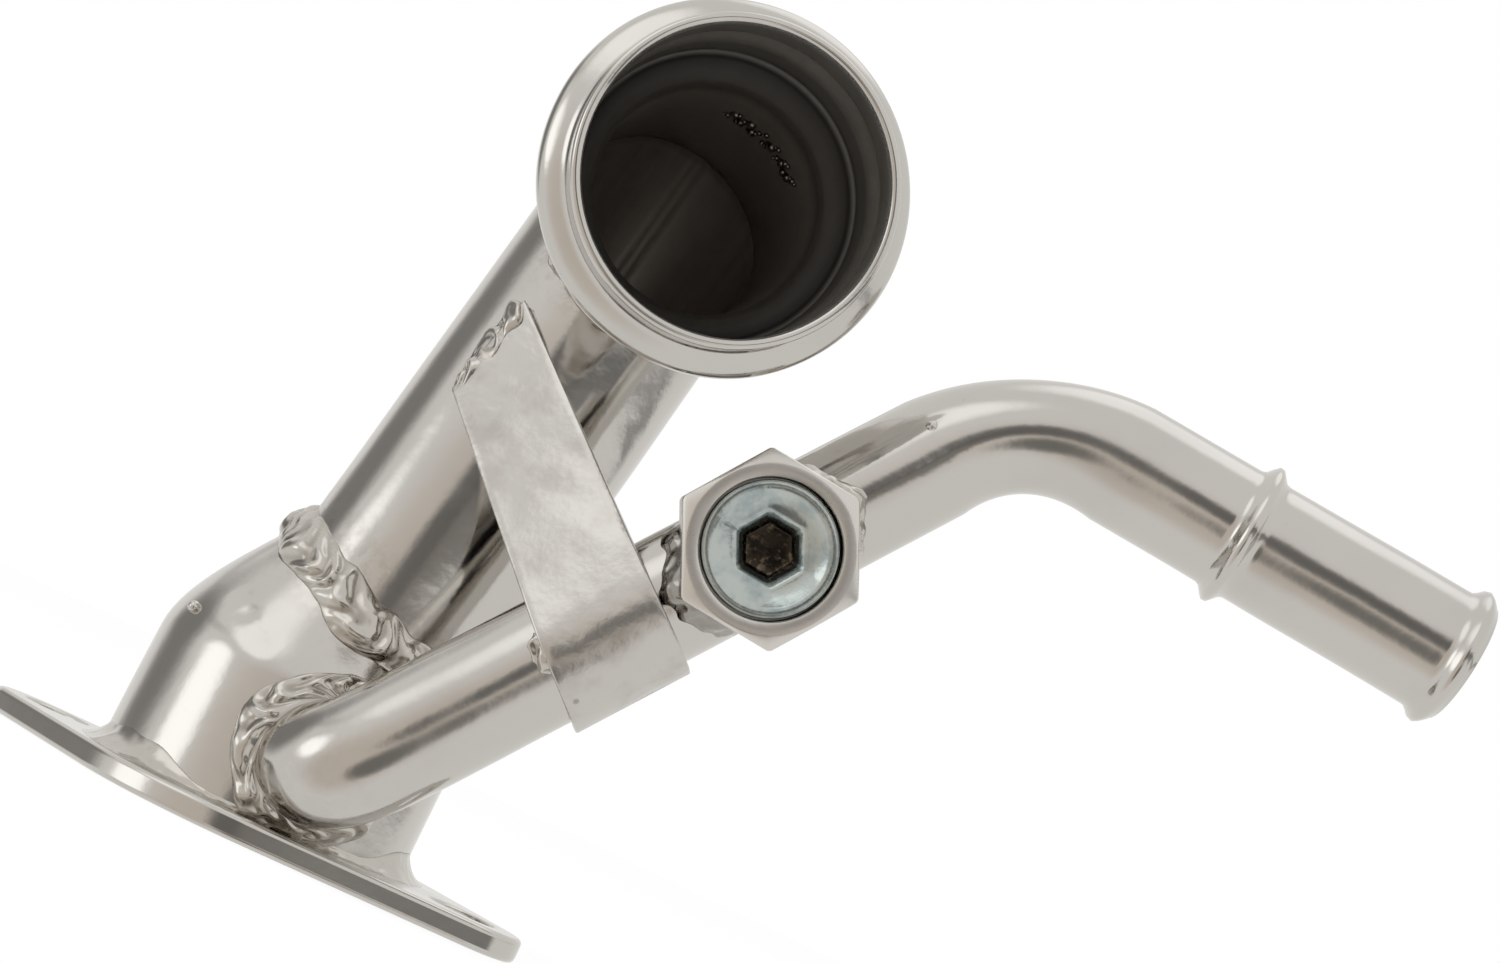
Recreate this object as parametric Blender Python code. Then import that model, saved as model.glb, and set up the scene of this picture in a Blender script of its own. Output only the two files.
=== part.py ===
# Engine coolant outlet: a two-bolt flange with a welded tube elbow, a radiator hose neck,
# a heater tube with a hose barb, a hex bung with its plug, and a strap that ties the tubes.
# The origin is the middle of the flange bore on the gasket face, +Z is the flange's outward
# normal and +X runs along the flange towards the heater barb.

from math import acos, atan2, cos, hypot, pi, radians, sin, sqrt, tan

import bmesh
import bpy
from mathutils import Matrix, Vector

MM = 0.001
GAP = 0.3 * MM
SEAT = 0.35 * MM

# Flange plate
PLATE_T = 3.2 * MM
BOLT_SPACING = 66.0 * MM
BOLT_HOLE_D = 8.6 * MM
LUG_R = 8.6 * MM
LAND_W = 4.0 * MM
PLATE_EDGE = 0.45 * MM
FILLET_LEG = 2.6 * MM
BASE_INSET = 0.8 * MM

# Lower elbow, from the flange to the slanted joint under the main pipe
BASE_OD = 43.0 * MM
BASE_WALL = 1.6 * MM
BASE_STRAIGHT_TOP = 20.0 * MM
JOINT_SHIFT = 5.3 * MM
JOINT_Z = 34.8 * MM
JOINT_TILT = radians(24.5)
OUTLET_TILT = radians(33.0)
JOINT_BEAD_W = 5.4 * MM
JOINT_BEAD_H = 1.7 * MM

# Main pipe and radiator hose neck
PIPE_OD = 31.75 * MM
PIPE_WALL = 1.6 * MM
PIPE_LEAN = radians(9.7)
PIPE_RISE = 63.7 * MM
NECK_TURN = radians(29.0)
NECK_DROP = radians(6.5)
NECK_REACH = 55.0 * MM
NECK_OD = 38.1 * MM
NECK_WALL = 1.3 * MM
NECK_BEAD_AT = 8.0 * MM
NECK_BEAD_W = 7.0 * MM
NECK_BEAD_H = 3.0 * MM
NECK_SEAT_LENGTH = 17.5 * MM
NECK_TAPER = 6.5 * MM
NECK_WELD_R = 1.5 * MM

# Heater tube: root on the elbow, straight run, bend, and barb
HEATER_OD = 15.9 * MM
HEATER_WALL = 1.2 * MM
HEATER_HEADING = radians(11.5)
RUN_CLIMB = radians(52.7)
BARB_DROP = radians(7.1)
CORNER = Vector((74.9, -7.7, 89.5)) * MM
RUN_LENGTH = 80.0 * MM
HEATER_BEND_R = 23.5 * MM
BEND_SQUASH = 0.10
ROOT_HEADING = radians(38.0)
ROOT_EXIT = radians(46.0)
ROOT_Z = 12.4 * MM
ROOT_REACH = 18.0 * MM
ROOT_PULL = 9.0 * MM
RUN_PULL = 14.0 * MM
STOP_BEAD_AT = 30.5 * MM
BARB_LENGTH = 61.0 * MM
BARB_BEAD_W = 3.6 * MM
STOP_BEAD_H = 1.6 * MM
END_BEAD_H = 1.2 * MM
ROOT_WELD_R = 1.25 * MM

# Hex bung and plug on the run
BUNG_AT = 37.8 * MM
BUNG_AF = 21.0 * MM
BUNG_TURN = radians(1.5)
BUNG_ROLL = radians(12.0)
BUNG_TOP = 14.0 * MM
BUNG_FOOT = 3.4 * MM
BUNG_CHAMFER = 0.3 * MM
BUNG_BORE_D = 17.1 * MM
BUNG_FLOOR = 9.3 * MM
PORT_D = 8.0 * MM
BUNG_WELD_R = 0.5 * MM
PLUG_RECESS = 0.7 * MM
PLUG_RIM = 1.1 * MM
PLUG_DISH = 1.3 * MM
SOCKET_AF = 7.9 * MM
SOCKET_DEPTH = 1.6 * MM
DRILL_D = 4.8 * MM
DRILL_DEPTH = 0.5 * MM

# Strap between the pipes
STRAP_AT = 59.7 * MM
STRAP_T = 1.3 * MM
STRAP_FOOT_LEFT = -8.9 * MM
STRAP_FOOT_RIGHT = 6.9 * MM
STRAP_HEAD_LEFT = -3.4 * MM
STRAP_HEAD_RIGHT = 10.3 * MM
STRAP_WRAP = radians(80.0)
STRAP_HEAD_PAST = 1.0 * MM
STRAP_WELD_R = 1.5 * MM
TACK_R = 1.1 * MM

ROUND = 48
TUBE_ROUND = 28
ROOT_STEPS = 48

X_AXIS = Vector((1, 0, 0))
Y_AXIS = Vector((0, 1, 0))
Z_AXIS = Vector((0, 0, 1))


def clear_scene():
    for item in list(bpy.data.objects):
        bpy.data.objects.remove(item, do_unlink=True)


def metal(name, colour, roughness, metallic=1.0):
    material = bpy.data.materials.new(name)
    material.use_nodes = True
    shader = material.node_tree.nodes["Principled BSDF"]
    shader.inputs["Base Color"].default_value = (*colour, 1.0)
    shader.inputs["Roughness"].default_value = roughness
    shader.inputs["Metallic"].default_value = metallic
    material.diffuse_color = (*colour, 1.0)
    return material


def add_object(name, mesh, material):
    item = bpy.data.objects.new(name, mesh)
    bpy.context.scene.collection.objects.link(item)
    if material is not None:
        mesh.materials.append(material)
    return item


def finish_mesh(name, shape, material, sharp=35.0):
    bmesh.ops.recalc_face_normals(shape, faces=shape.faces)
    mesh = bpy.data.meshes.new(name)
    shape.to_mesh(mesh)
    shape.free()
    mesh.shade_smooth()
    mesh.set_sharp_from_angle(angle=radians(sharp))
    return add_object(name, mesh, material)


def skin(name, loops, material, wrap=True, sharp=35.0):
    """Skins a row of loops: closed on itself when wrap is set, with end caps when it isn't."""
    shape = bmesh.new()
    rings = [[shape.verts.new(point) for point in loop] for loop in loops]
    pairs = list(zip(rings, rings[1:]))
    if wrap:
        pairs.append((rings[-1], rings[0]))
    else:
        shape.faces.new(list(reversed(rings[0])))
        shape.faces.new(rings[-1])
    for low, high in pairs:
        count = len(low)
        for i in range(count):
            j = (i + 1) % count
            shape.faces.new((low[i], low[j], high[j], high[i]))
    return finish_mesh(name, shape, material, sharp)


def cutter(name, shape):
    item = finish_mesh(name, shape, None)
    item.hide_render = True
    item.display_type = "WIRE"
    return item


def cut(item, tool):
    boolean = item.modifiers.new("Cut " + tool.name, "BOOLEAN")
    boolean.operation = "DIFFERENCE"
    boolean.solver = "EXACT"
    boolean.object = tool


def across(axis, hint):
    """Two unit vectors square to an axis, the first as near to the hint as it can be."""
    first = (hint - axis * hint.dot(axis)).normalized()
    return first, axis.cross(first)


def circle(centre, axis, hint, radius, count):
    first, second = across(axis, hint)
    step = 2 * pi / count
    return [centre + (first * cos(i * step) + second * sin(i * step)) * radius for i in range(count)]


def slanted_circle(centre, axis, hint, radius, normal, count):
    """Where a cylinder of this radius along the axis crosses the plane through the centre."""
    loop = circle(centre, axis, hint, radius, count)
    return [point - axis * ((point - centre).dot(normal) / axis.dot(normal)) for point in loop]


def rod(name, start, end, radius, count):
    axis = (end - start).normalized()
    hint = X_AXIS if abs(axis.x) < 0.9 else Y_AXIS
    shape = bmesh.new()
    rings = [[shape.verts.new(p) for p in circle(at, axis, hint, radius, count)] for at in (start, end)]
    shape.faces.new(list(reversed(rings[0])))
    shape.faces.new(rings[1])
    for i in range(count):
        j = (i + 1) % count
        shape.faces.new((rings[0][i], rings[0][j], rings[1][j], rings[1][i]))
    return cutter(name, shape)


def bulge(place, middle, width, height):
    """Height of a rolled bead at a place along the tube."""
    offset = (place - middle) / (width / 2)
    return height * 0.5 * (1 + cos(pi * offset)) if abs(offset) < 1 else 0.0


def spread(start, end, count):
    return [start + (end - start) * i / count for i in range(count + 1)]


def closed_bead(name, centres, outward, radius, material, sides=10, ripple=0.14, pitch=2.6 * MM):
    """A rope of weld metal round a closed line, with the ripples that the welder leaves."""
    count = len(centres)
    length = sum((centres[i] - centres[i - 1]).length for i in range(count))
    waves = max(3, round(length / pitch))
    loops = []
    for i, centre in enumerate(centres):
        along = (centres[(i + 1) % count] - centres[i - 1]).normalized()
        size = radius * (1 - ripple * (1 + cos(2 * pi * waves * i / count)) / 2)
        loops.append(circle(centre, along, outward[i], size, sides))
    return skin(name, loops, material)


def open_bead(name, centres, outward, radius, material, sides=10, ripple=0.14, pitch=2.6 * MM):
    """A rope of weld metal along an open line, run out to blunt ends."""
    count = len(centres)
    length = sum((b - a).length for a, b in zip(centres, centres[1:]))
    waves = max(1, round(length / pitch))
    loops = []
    for i, centre in enumerate(centres):
        ahead = centres[min(i + 1, count - 1)]
        behind = centres[max(i - 1, 0)]
        place = i / (count - 1)
        end = min(1.0, 0.45 + 6.0 * min(place, 1 - place))
        size = radius * end * (1 - ripple * (1 + cos(2 * pi * waves * place)) / 2)
        loops.append(circle(centre, (ahead - behind).normalized(), outward[i], size, sides))
    return skin(name, loops, material, wrap=False)


# Lines and planes that the pieces share

PIPE_R = PIPE_OD / 2
BASE_R = BASE_OD / 2
NECK_R = NECK_OD / 2
HEATER_R = HEATER_OD / 2
LAND_R = BASE_R + GAP + LAND_W

JOINT = Vector((JOINT_SHIFT, 0, JOINT_Z))
JOINT_NORMAL = Vector((sin(JOINT_TILT), 0, cos(JOINT_TILT)))
OUTLET_AXIS = Vector((sin(OUTLET_TILT), 0, cos(OUTLET_TILT)))
PIPE_AXIS = Vector((sin(PIPE_LEAN), 0, cos(PIPE_LEAN)))
NECK_CORNER = JOINT + PIPE_AXIS * PIPE_RISE
NECK_AXIS = Vector((sin(NECK_TURN) * cos(NECK_DROP), -cos(NECK_TURN) * cos(NECK_DROP), -sin(NECK_DROP)))
NECK_MITRE = (PIPE_AXIS + NECK_AXIS).normalized()
MOUTH = NECK_CORNER + NECK_AXIS * NECK_REACH

RUN_AXIS = Vector((cos(HEATER_HEADING) * cos(RUN_CLIMB), sin(HEATER_HEADING) * cos(RUN_CLIMB), sin(RUN_CLIMB)))
BARB_AXIS = Vector((cos(HEATER_HEADING) * cos(BARB_DROP), sin(HEATER_HEADING) * cos(BARB_DROP), -sin(BARB_DROP)))
BEND_SIDE = RUN_AXIS.cross(BARB_AXIS).normalized()
RUN_START = CORNER - RUN_AXIS * RUN_LENGTH
FRONT = BEND_SIDE if BEND_SIDE.y < 0 else -BEND_SIDE
BUNG_AXIS = Matrix.Rotation(BUNG_ROLL, 3, RUN_AXIS) @ FRONT


def flange_plate(material):
    """Oval plate: a land round the bore, two lugs, and the straight edges that touch both."""
    half = BOLT_SPACING / 2
    edge_angle = acos((LAND_R - LUG_R) / half)
    arcs = (
        (half, LUG_R, -edge_angle, edge_angle),
        (0.0, LAND_R, edge_angle, pi - edge_angle),
        (-half, LUG_R, pi - edge_angle, pi + edge_angle),
        (0.0, LAND_R, pi + edge_angle, 2 * pi - edge_angle),
    )
    outline = [
        (middle + radius * cos(angle), radius * sin(angle))
        for middle, radius, start, end in arcs
        for angle in spread(start, end, 12)
    ]
    loops = [[Vector((x, y, z)) for x, y in outline] for z in (0.0, PLATE_T)]
    plate = skin("flange_plate", loops, material, wrap=False)
    bevel = plate.modifiers.new("Worn edges", "BEVEL")
    bevel.width = PLATE_EDGE
    bevel.segments = 2
    bevel.limit_method = "ANGLE"
    bevel.angle_limit = radians(60)
    up = Z_AXIS * PLATE_T
    cut(plate, rod("bore cutter", -up, up * 2, BASE_R + GAP, ROUND))
    for side, x in (("left", -half), ("right", half)):
        at = Vector((x, 0, 0))
        cut(plate, rod(side + " bolt hole cutter", at - up, at + up * 2, BOLT_HOLE_D / 2, 24))
    return plate


def elbow_line(start, end, place):
    """A smooth line up the elbow's wall, from its straight part to the slanted joint."""
    reach = (end - start).length
    leave = Z_AXIS * (0.9 * reach)
    arrive = OUTLET_AXIS * (0.8 * reach)
    a = 2 * place**3 - 3 * place**2 + 1
    b = place**3 - 2 * place**2 + place
    c = 3 * place**2 - 2 * place**3
    d = place**3 - place**2
    return start * a + leave * b + end * c + arrive * d


def elbow_ends(base_radius, joint_radius, count, inset=0.0):
    """The two loops that the elbow's wall runs between."""
    top = circle(Z_AXIS * BASE_STRAIGHT_TOP, Z_AXIS, X_AXIS, base_radius, count)
    joint = slanted_circle(JOINT - JOINT_NORMAL * inset, PIPE_AXIS, X_AXIS, joint_radius, JOINT_NORMAL, count)
    return top, joint


def lower_elbow(material):
    """Wide tube end that narrows as it leans over to meet the main pipe."""
    walls = []
    for base_radius, joint_radius in ((BASE_R, PIPE_R), (BASE_R - BASE_WALL, PIPE_R - PIPE_WALL)):
        top, joint = elbow_ends(base_radius, joint_radius, ROUND, GAP / 2)
        loops = [circle(Z_AXIS * BASE_INSET, Z_AXIS, X_AXIS, base_radius, ROUND)]
        for place in spread(0.0, 1.0, 7):
            loops.append([elbow_line(a, b, place) for a, b in zip(top, joint)])
        walls.append(loops)
    elbow = skin("lower_elbow", walls[0] + walls[1][::-1], material)
    cut(elbow, heater_bore_cutter())
    return elbow


def elbow_weld(material):
    """Broad ropy bead that covers the slanted joint."""
    count = 51
    offsets = spread(-1.0, 1.0, 6)
    top, joint = elbow_ends(BASE_R, PIPE_R, count)
    sections = []
    for i, (low, high) in enumerate(zip(top, joint)):
        reach = (high - low).length
        ripple = 1 - 0.16 * (1 + cos(2 * pi * 17 * i / count)) / 2
        under = []
        over = []
        for offset in offsets:
            run = abs(offset) * JOINT_BEAD_W / 2
            if offset < 0:
                at = elbow_line(low, high, 1 - run / (0.8 * reach))
                axis = OUTLET_AXIS
            else:
                at = high + PIPE_AXIS * run
                axis = PIPE_AXIS
            out = at - JOINT
            out = (out - axis * out.dot(axis)).normalized()
            crown = cos(offset * pi / 2) ** 0.6 if abs(offset) < 1 else 0.0
            under.append(at + out * SEAT * 1.4)
            over.append(at + out * (SEAT * 1.4 + 0.25 * MM + JOINT_BEAD_H * crown * ripple))
        sections.append(under + over[::-1])
    return skin("elbow_weld", sections, material)


def flange_weld(material):
    """Fillet between the plate and the elbow, thinner where the heater tube passes over it."""
    count = 48
    inner = BASE_R + SEAT
    foot = PLATE_T + SEAT
    sections = []
    for i in range(count):
        angle = 2 * pi * i / count
        apart = abs((angle + pi / 2 - ROOT_HEADING + pi) % (2 * pi) - pi)
        open_share = min(1.0, max(0.0, (apart - radians(48)) / radians(14)))
        leg = FILLET_LEG * (0.25 + 0.75 * open_share)
        profile = ((0, 0), (leg, 0), (0.56 * leg, 0.14 * leg), (0.14 * leg, 0.56 * leg), (0, leg))
        out = X_AXIS * cos(angle) + Y_AXIS * sin(angle)
        sections.append([out * (inner + across_) + Z_AXIS * (foot + up) for across_, up in profile])
    return skin("flange_weld", sections, material)


def main_pipe(material):
    """Straight tube, cut on a slant at both ends."""
    low = JOINT + JOINT_NORMAL * GAP / 2
    high = NECK_CORNER - NECK_MITRE * GAP / 2
    low_clear = PIPE_R * tan(JOINT_TILT) + 2 * MM
    high_clear = PIPE_R * tan(PIPE_AXIS.angle(NECK_MITRE)) + 2 * MM
    walls = []
    for radius in (PIPE_R, PIPE_R - PIPE_WALL):
        walls.append([
            slanted_circle(low, PIPE_AXIS, X_AXIS, radius, JOINT_NORMAL, ROUND),
            circle(low + PIPE_AXIS * low_clear, PIPE_AXIS, X_AXIS, radius, ROUND),
            circle(high - PIPE_AXIS * high_clear, PIPE_AXIS, X_AXIS, radius, ROUND),
            slanted_circle(high, PIPE_AXIS, X_AXIS, radius, NECK_MITRE, ROUND),
        ])
    return skin("main_pipe", walls[0] + walls[1][::-1], material)


def neck_radius(back):
    """Outside radius of the neck, measured back from the mouth."""
    bead = bulge(back, NECK_BEAD_AT, NECK_BEAD_W, NECK_BEAD_H)
    place = min(1.0, max(0.0, (back - NECK_SEAT_LENGTH) / NECK_TAPER))
    ease = place * place * (3 - 2 * place)
    return NECK_R + (PIPE_R - NECK_R) * ease + bead


def radiator_neck(material):
    """Hose neck: mitred throat, swelled end, rolled bead, and a plain rim."""
    start = NECK_CORNER + NECK_MITRE * GAP / 2
    clear = PIPE_R * tan(NECK_AXIS.angle(NECK_MITRE)) + 2 * MM
    bead_start = NECK_BEAD_AT - NECK_BEAD_W / 2
    backs = [NECK_REACH - clear]
    backs += spread(NECK_SEAT_LENGTH + NECK_TAPER, NECK_SEAT_LENGTH, 4)
    backs += spread(bead_start + NECK_BEAD_W, bead_start, 6)
    backs += [0.0]
    walls = []
    for wall in (0.0, NECK_WALL):
        loops = [slanted_circle(start, NECK_AXIS, Z_AXIS, PIPE_R - wall, NECK_MITRE, ROUND)]
        for back in backs:
            loops.append(circle(MOUTH - NECK_AXIS * back, NECK_AXIS, Z_AXIS, neck_radius(back) - wall, ROUND))
        walls.append(loops)
    return skin("radiator_neck", walls[0] + walls[1][::-1], material)


def neck_weld(material):
    """Bead round the mitred joint of the neck and the main pipe."""
    centres = []
    outward = []
    for ridge in slanted_circle(NECK_CORNER, PIPE_AXIS, X_AXIS, PIPE_R, NECK_MITRE, 48):
        arm = ridge - NECK_CORNER
        pipe_out = (arm - PIPE_AXIS * arm.dot(PIPE_AXIS)).normalized()
        neck_out = (arm - NECK_AXIS * arm.dot(NECK_AXIS)).normalized()
        out = (pipe_out + neck_out).normalized()
        inside_corner = pipe_out.dot(NECK_MITRE) > 0
        reach = (NECK_WELD_R + SEAT) / (out.dot(pipe_out) if inside_corner else 1.0)
        centres.append(ridge + out * reach)
        outward.append(out)
    return closed_bead("neck_weld", centres, outward, NECK_WELD_R, material, sides=8)


ROOT = Vector((ROOT_REACH * sin(ROOT_HEADING), -ROOT_REACH * cos(ROOT_HEADING), ROOT_Z))
ROOT_AXIS = Vector((sin(ROOT_EXIT), -cos(ROOT_EXIT), 0.0))


def root_line(place):
    """Centre and direction of the heater tube between the elbow and its straight run."""
    a, b = ROOT, ROOT + ROOT_AXIS * ROOT_PULL
    c, d = RUN_START - RUN_AXIS * RUN_PULL, RUN_START
    q = 1 - place
    centre = a * q**3 + b * 3 * q * q * place + c * 3 * q * place * place + d * place**3
    along = (b - a) * q * q + (c - b) * 2 * q * place + (d - c) * place * place
    return centre, along.normalized()


def root_frames():
    """Frames along the root line that don't twist, worked back from the straight run."""
    frames = []
    hint = FRONT
    for place in spread(1.0, 0.0, ROOT_STEPS):
        centre, axis = root_line(place)
        hint, side = across(axis, hint)
        frames.append((centre, axis, hint, side))
    return frames[::-1]


def root_point(frames, place, angle, radius):
    spot = place * ROOT_STEPS
    low = min(int(spot), ROOT_STEPS - 1)
    share = spot - low
    points = []
    for centre, _axis, hint, side in frames[low:low + 2]:
        points.append(centre + (hint * cos(angle) + side * sin(angle)) * radius)
    return points[0].lerp(points[1], share)


def root_crossing(frames, angle, radius, wall):
    """Where one line along the heater tube leaves the elbow's wall."""
    low, high = 0.0, 1.0
    for _ in range(24):
        middle = (low + high) / 2
        point = root_point(frames, middle, angle, radius)
        if hypot(point.x, point.y) > wall:
            high = middle
        else:
            low = middle
    return high


def heater_bore_cutter():
    """A straight rod through the elbow's wall, as wide as the heater tube's bore."""
    start = ROOT - ROOT_AXIS * (BASE_WALL * 3)
    end = ROOT + ROOT_AXIS * (BASE_R - ROOT_REACH + HEATER_WALL * 2)
    return rod("heater bore cutter", start, end, HEATER_R - HEATER_WALL, 24)


def heater_stations():
    """Centre, direction and place on the barb for each ring after the root."""
    turn = RUN_AXIS.angle(BARB_AXIS)
    tangent = HEATER_BEND_R * tan(turn / 2)
    bend_start = CORNER - RUN_AXIS * tangent
    inward = across(RUN_AXIS, BARB_AXIS)[0]
    pivot = bend_start + inward * HEATER_BEND_R
    stations = []
    for angle in spread(0.0, turn, 8):
        axis = RUN_AXIS * cos(angle) + inward * sin(angle)
        centre = pivot + (RUN_AXIS * sin(angle) - inward * cos(angle)) * HEATER_BEND_R
        squash = BEND_SQUASH * sin(pi * angle / turn)
        stations.append((centre, axis, 0.0, squash))
    half = BARB_BEAD_W / 2
    for middle, height in ((STOP_BEAD_AT, STOP_BEAD_H), (BARB_LENGTH - half, END_BEAD_H)):
        for along in spread(middle - half, middle + half, 6):
            stations.append((CORNER + BARB_AXIS * along, BARB_AXIS, bulge(along, middle, BARB_BEAD_W, height), 0.0))
    return stations


def heater_tube(material):
    """One bent tube from the elbow to the barb, fish-mouthed where it meets the elbow."""
    frames = root_frames()
    stations = heater_stations()
    step = 2 * pi / TUBE_ROUND
    walls = []
    for wall in (0.0, HEATER_WALL):
        radius = HEATER_R - wall
        starts = [root_crossing(frames, i * step, radius, BASE_R + GAP) for i in range(TUBE_ROUND)]
        loops = []
        for share in spread(0.0, 1.0, 5):
            loops.append([
                root_point(frames, start + (1 - start) * share, i * step, radius)
                for i, start in enumerate(starts)
            ])
        hint = FRONT
        for centre, axis, swell, squash in stations:
            hint, side = across(axis, hint)
            ring = []
            for i in range(TUBE_ROUND):
                spoke = hint * cos(i * step) + side * (sin(i * step) * (1 - squash))
                ring.append(centre + spoke * (radius + swell))
            loops.append(ring)
        walls.append(loops)
    tube = skin("heater_tube", walls[0] + walls[1][::-1], material)
    at = CORNER - RUN_AXIS * BUNG_AT
    cut(tube, rod("port cutter", at, at + BUNG_AXIS * BUNG_TOP, PORT_D / 2, 20))
    return tube


def heater_root_weld(material):
    """Bead in the corner between the heater tube and the elbow, where a torch can reach it."""
    frames = root_frames()
    count = 64
    reach = ROOT_WELD_R + SEAT * 1.3
    spots = []
    for i in range(count):
        angle = 2 * pi * i / count
        place = root_crossing(frames, angle, HEATER_R, BASE_R)
        touch = root_point(frames, place, angle, HEATER_R)
        centre = root_line(place)[0]
        pipe_out = (touch - centre).normalized()
        base_out = Vector((touch.x, touch.y, 0)).normalized()
        meet = pipe_out.dot(base_out)
        spot = touch + (pipe_out + base_out) * (reach / (1 + max(meet, -0.8)))
        clear_plate = spot.z - ROOT_WELD_R > PLATE_T + SEAT * 2 + FILLET_LEG * 0.25
        spots.append((spot, pipe_out + base_out, meet > -0.45 and clear_plate))
    chain = []
    for first in range(count):
        run = []
        while len(run) < count and spots[(first + len(run)) % count][2]:
            run.append(spots[(first + len(run)) % count])
        chain = max(chain, run, key=len)
    centres = [spot[0] for spot in chain]
    outward = [spot[1] for spot in chain]
    return open_bead("heater_root_weld", centres, outward, ROOT_WELD_R, material, sides=8)


def hexagon_reach(angle, flats):
    """Distance from the middle of a hexagon to its edge, with a corner at angle zero."""
    apart = angle % (pi / 3) - pi / 6
    return flats / 2 / cos(apart)


def bung_frame():
    origin = CORNER - RUN_AXIS * BUNG_AT
    along = RUN_AXIS
    side = BUNG_AXIS.cross(along)
    return origin, along * cos(BUNG_TURN) + side * sin(BUNG_TURN), side * cos(BUNG_TURN) - along * sin(BUNG_TURN)


def bung_loop(radius_at, height_at, count):
    origin, first, second = bung_frame()
    loop = []
    for i in range(count):
        angle = 2 * pi * i / count
        spoke = first * cos(angle) + second * sin(angle)
        loop.append(origin + spoke * radius_at(angle) + BUNG_AXIS * height_at(angle))
    return loop


def sensor_bung(material):
    """Hex bung, coped over the heater tube, with a bore that stops above the tube."""
    ring_r = BUNG_AF / 2 - BUNG_CHAMFER

    def flats(angle):
        return hexagon_reach(angle, BUNG_AF)

    def shoulder(angle):
        return BUNG_TOP - (flats(angle) - ring_r) * tan(radians(30))

    loops = [
        bung_loop(flats, lambda angle: BUNG_FOOT, ROUND),
        bung_loop(flats, shoulder, ROUND),
        bung_loop(lambda angle: ring_r, lambda angle: BUNG_TOP, ROUND),
        bung_loop(lambda angle: BUNG_BORE_D / 2, lambda angle: BUNG_TOP, ROUND),
        bung_loop(lambda angle: BUNG_BORE_D / 2, lambda angle: BUNG_FLOOR, ROUND),
        bung_loop(lambda angle: PORT_D / 2, lambda angle: BUNG_FLOOR, ROUND),
        bung_loop(lambda angle: PORT_D / 2, lambda angle: BUNG_FOOT, ROUND),
    ]
    bung = skin("sensor_bung", loops, material)
    origin = bung_frame()[0]
    away = RUN_AXIS * BUNG_AF
    cut(bung, rod("cope cutter", origin - away, origin + away, HEATER_R + GAP, TUBE_ROUND))
    return bung


def bung_plug(material):
    """Threaded plug with a rim, a dished middle, a hex socket and a drill point."""
    radius = BUNG_BORE_D / 2 - GAP
    top = BUNG_TOP - PLUG_RECESS
    socket_top = top - PLUG_DISH
    floor = socket_top - SOCKET_DEPTH

    def level(height):
        return lambda angle: height

    def size(value):
        return lambda angle: value

    def socket(angle):
        return hexagon_reach(angle, SOCKET_AF)

    loops = [
        bung_loop(size(radius), level(BUNG_FLOOR + GAP), ROUND),
        bung_loop(size(radius), level(top - 0.3 * MM), ROUND),
        bung_loop(size(radius - 0.3 * MM), level(top), ROUND),
        bung_loop(size(radius - PLUG_RIM), level(top), ROUND),
        bung_loop(socket, level(socket_top), ROUND),
        bung_loop(socket, level(floor), ROUND),
        bung_loop(size(DRILL_D / 2), level(floor), ROUND),
        bung_loop(size(DRILL_D / 12), level(floor - DRILL_DEPTH), ROUND),
    ]
    return skin("bung_plug", loops, material, wrap=False)


def bung_welds(material):
    """Beads under the two pointed ends of the bung, across the heater tube."""
    origin, first, second = bung_frame()
    side = BUNG_AXIS.cross(RUN_AXIS)
    ring = HEATER_R + BUNG_WELD_R + SEAT
    for name, way in (("bung_weld_lower", -1), ("bung_weld_upper", 1)):
        centres = []
        outward = []
        for angle in spread(radians(-62), radians(62), 14):
            out = BUNG_AXIS * cos(angle) + side * sin(angle)
            lateral = abs(ring * sin(angle))
            edge = BUNG_AF / sqrt(3) - lateral / sqrt(3) + BUNG_WELD_R + SEAT * 1.6
            centres.append(origin + out * ring + RUN_AXIS * way * edge)
            outward.append(out)
        open_bead(name, centres, outward, BUNG_WELD_R, material, sides=8)


def strap_edge(foot, head):
    """Inner and outer profile of one edge of the strap, in the plane square to the run."""
    origin = CORNER - RUN_AXIS * STRAP_AT
    up = BUNG_AXIS.cross(RUN_AXIS)
    if up.z < 0:
        up = -up
    plane_at = origin + RUN_AXIS * head
    crossing = JOINT + PIPE_AXIS * ((plane_at - JOINT).dot(RUN_AXIS) / PIPE_AXIS.dot(RUN_AXIS))
    middle = crossing - plane_at
    c_up, c_front = middle.dot(up), middle.dot(BUNG_AXIS)
    wrap_r = HEATER_R + SEAT
    stretch = 1 / PIPE_AXIS.dot(RUN_AXIS)
    lean = radians(30)
    for _ in range(6):
        pipe_r = hypot(PIPE_R * stretch * sin(lean), PIPE_R * cos(lean)) + SEAT
        lean = atan2(c_up, c_front) - acos((wrap_r - pipe_r) / hypot(c_up, c_front))
    reach = c_up * cos(lean) - c_front * sin(lean) + STRAP_HEAD_PAST
    angles = spread(-STRAP_WRAP, lean, 10)
    flat = [(wrap_r * sin(a), wrap_r * cos(a), a, 0.0) for a in angles]
    total = wrap_r * (lean + STRAP_WRAP) + reach
    inner = []
    outer = []
    for a, b, angle, along in flat + [(0, 0, lean, reach * 0.5), (0, 0, lean, reach)]:
        if along:
            a = wrap_r * sin(lean) + cos(lean) * along
            b = wrap_r * cos(lean) - sin(lean) * along
        travelled = wrap_r * (angle + STRAP_WRAP) + along
        shift = foot + (head - foot) * travelled / total
        out = up * sin(angle) + BUNG_AXIS * cos(angle)
        point = origin + up * a + BUNG_AXIS * b + RUN_AXIS * shift
        inner.append(point)
        outer.append(point + out * STRAP_T)
    return inner, outer, out, up * cos(lean) - BUNG_AXIS * sin(lean)


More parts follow.
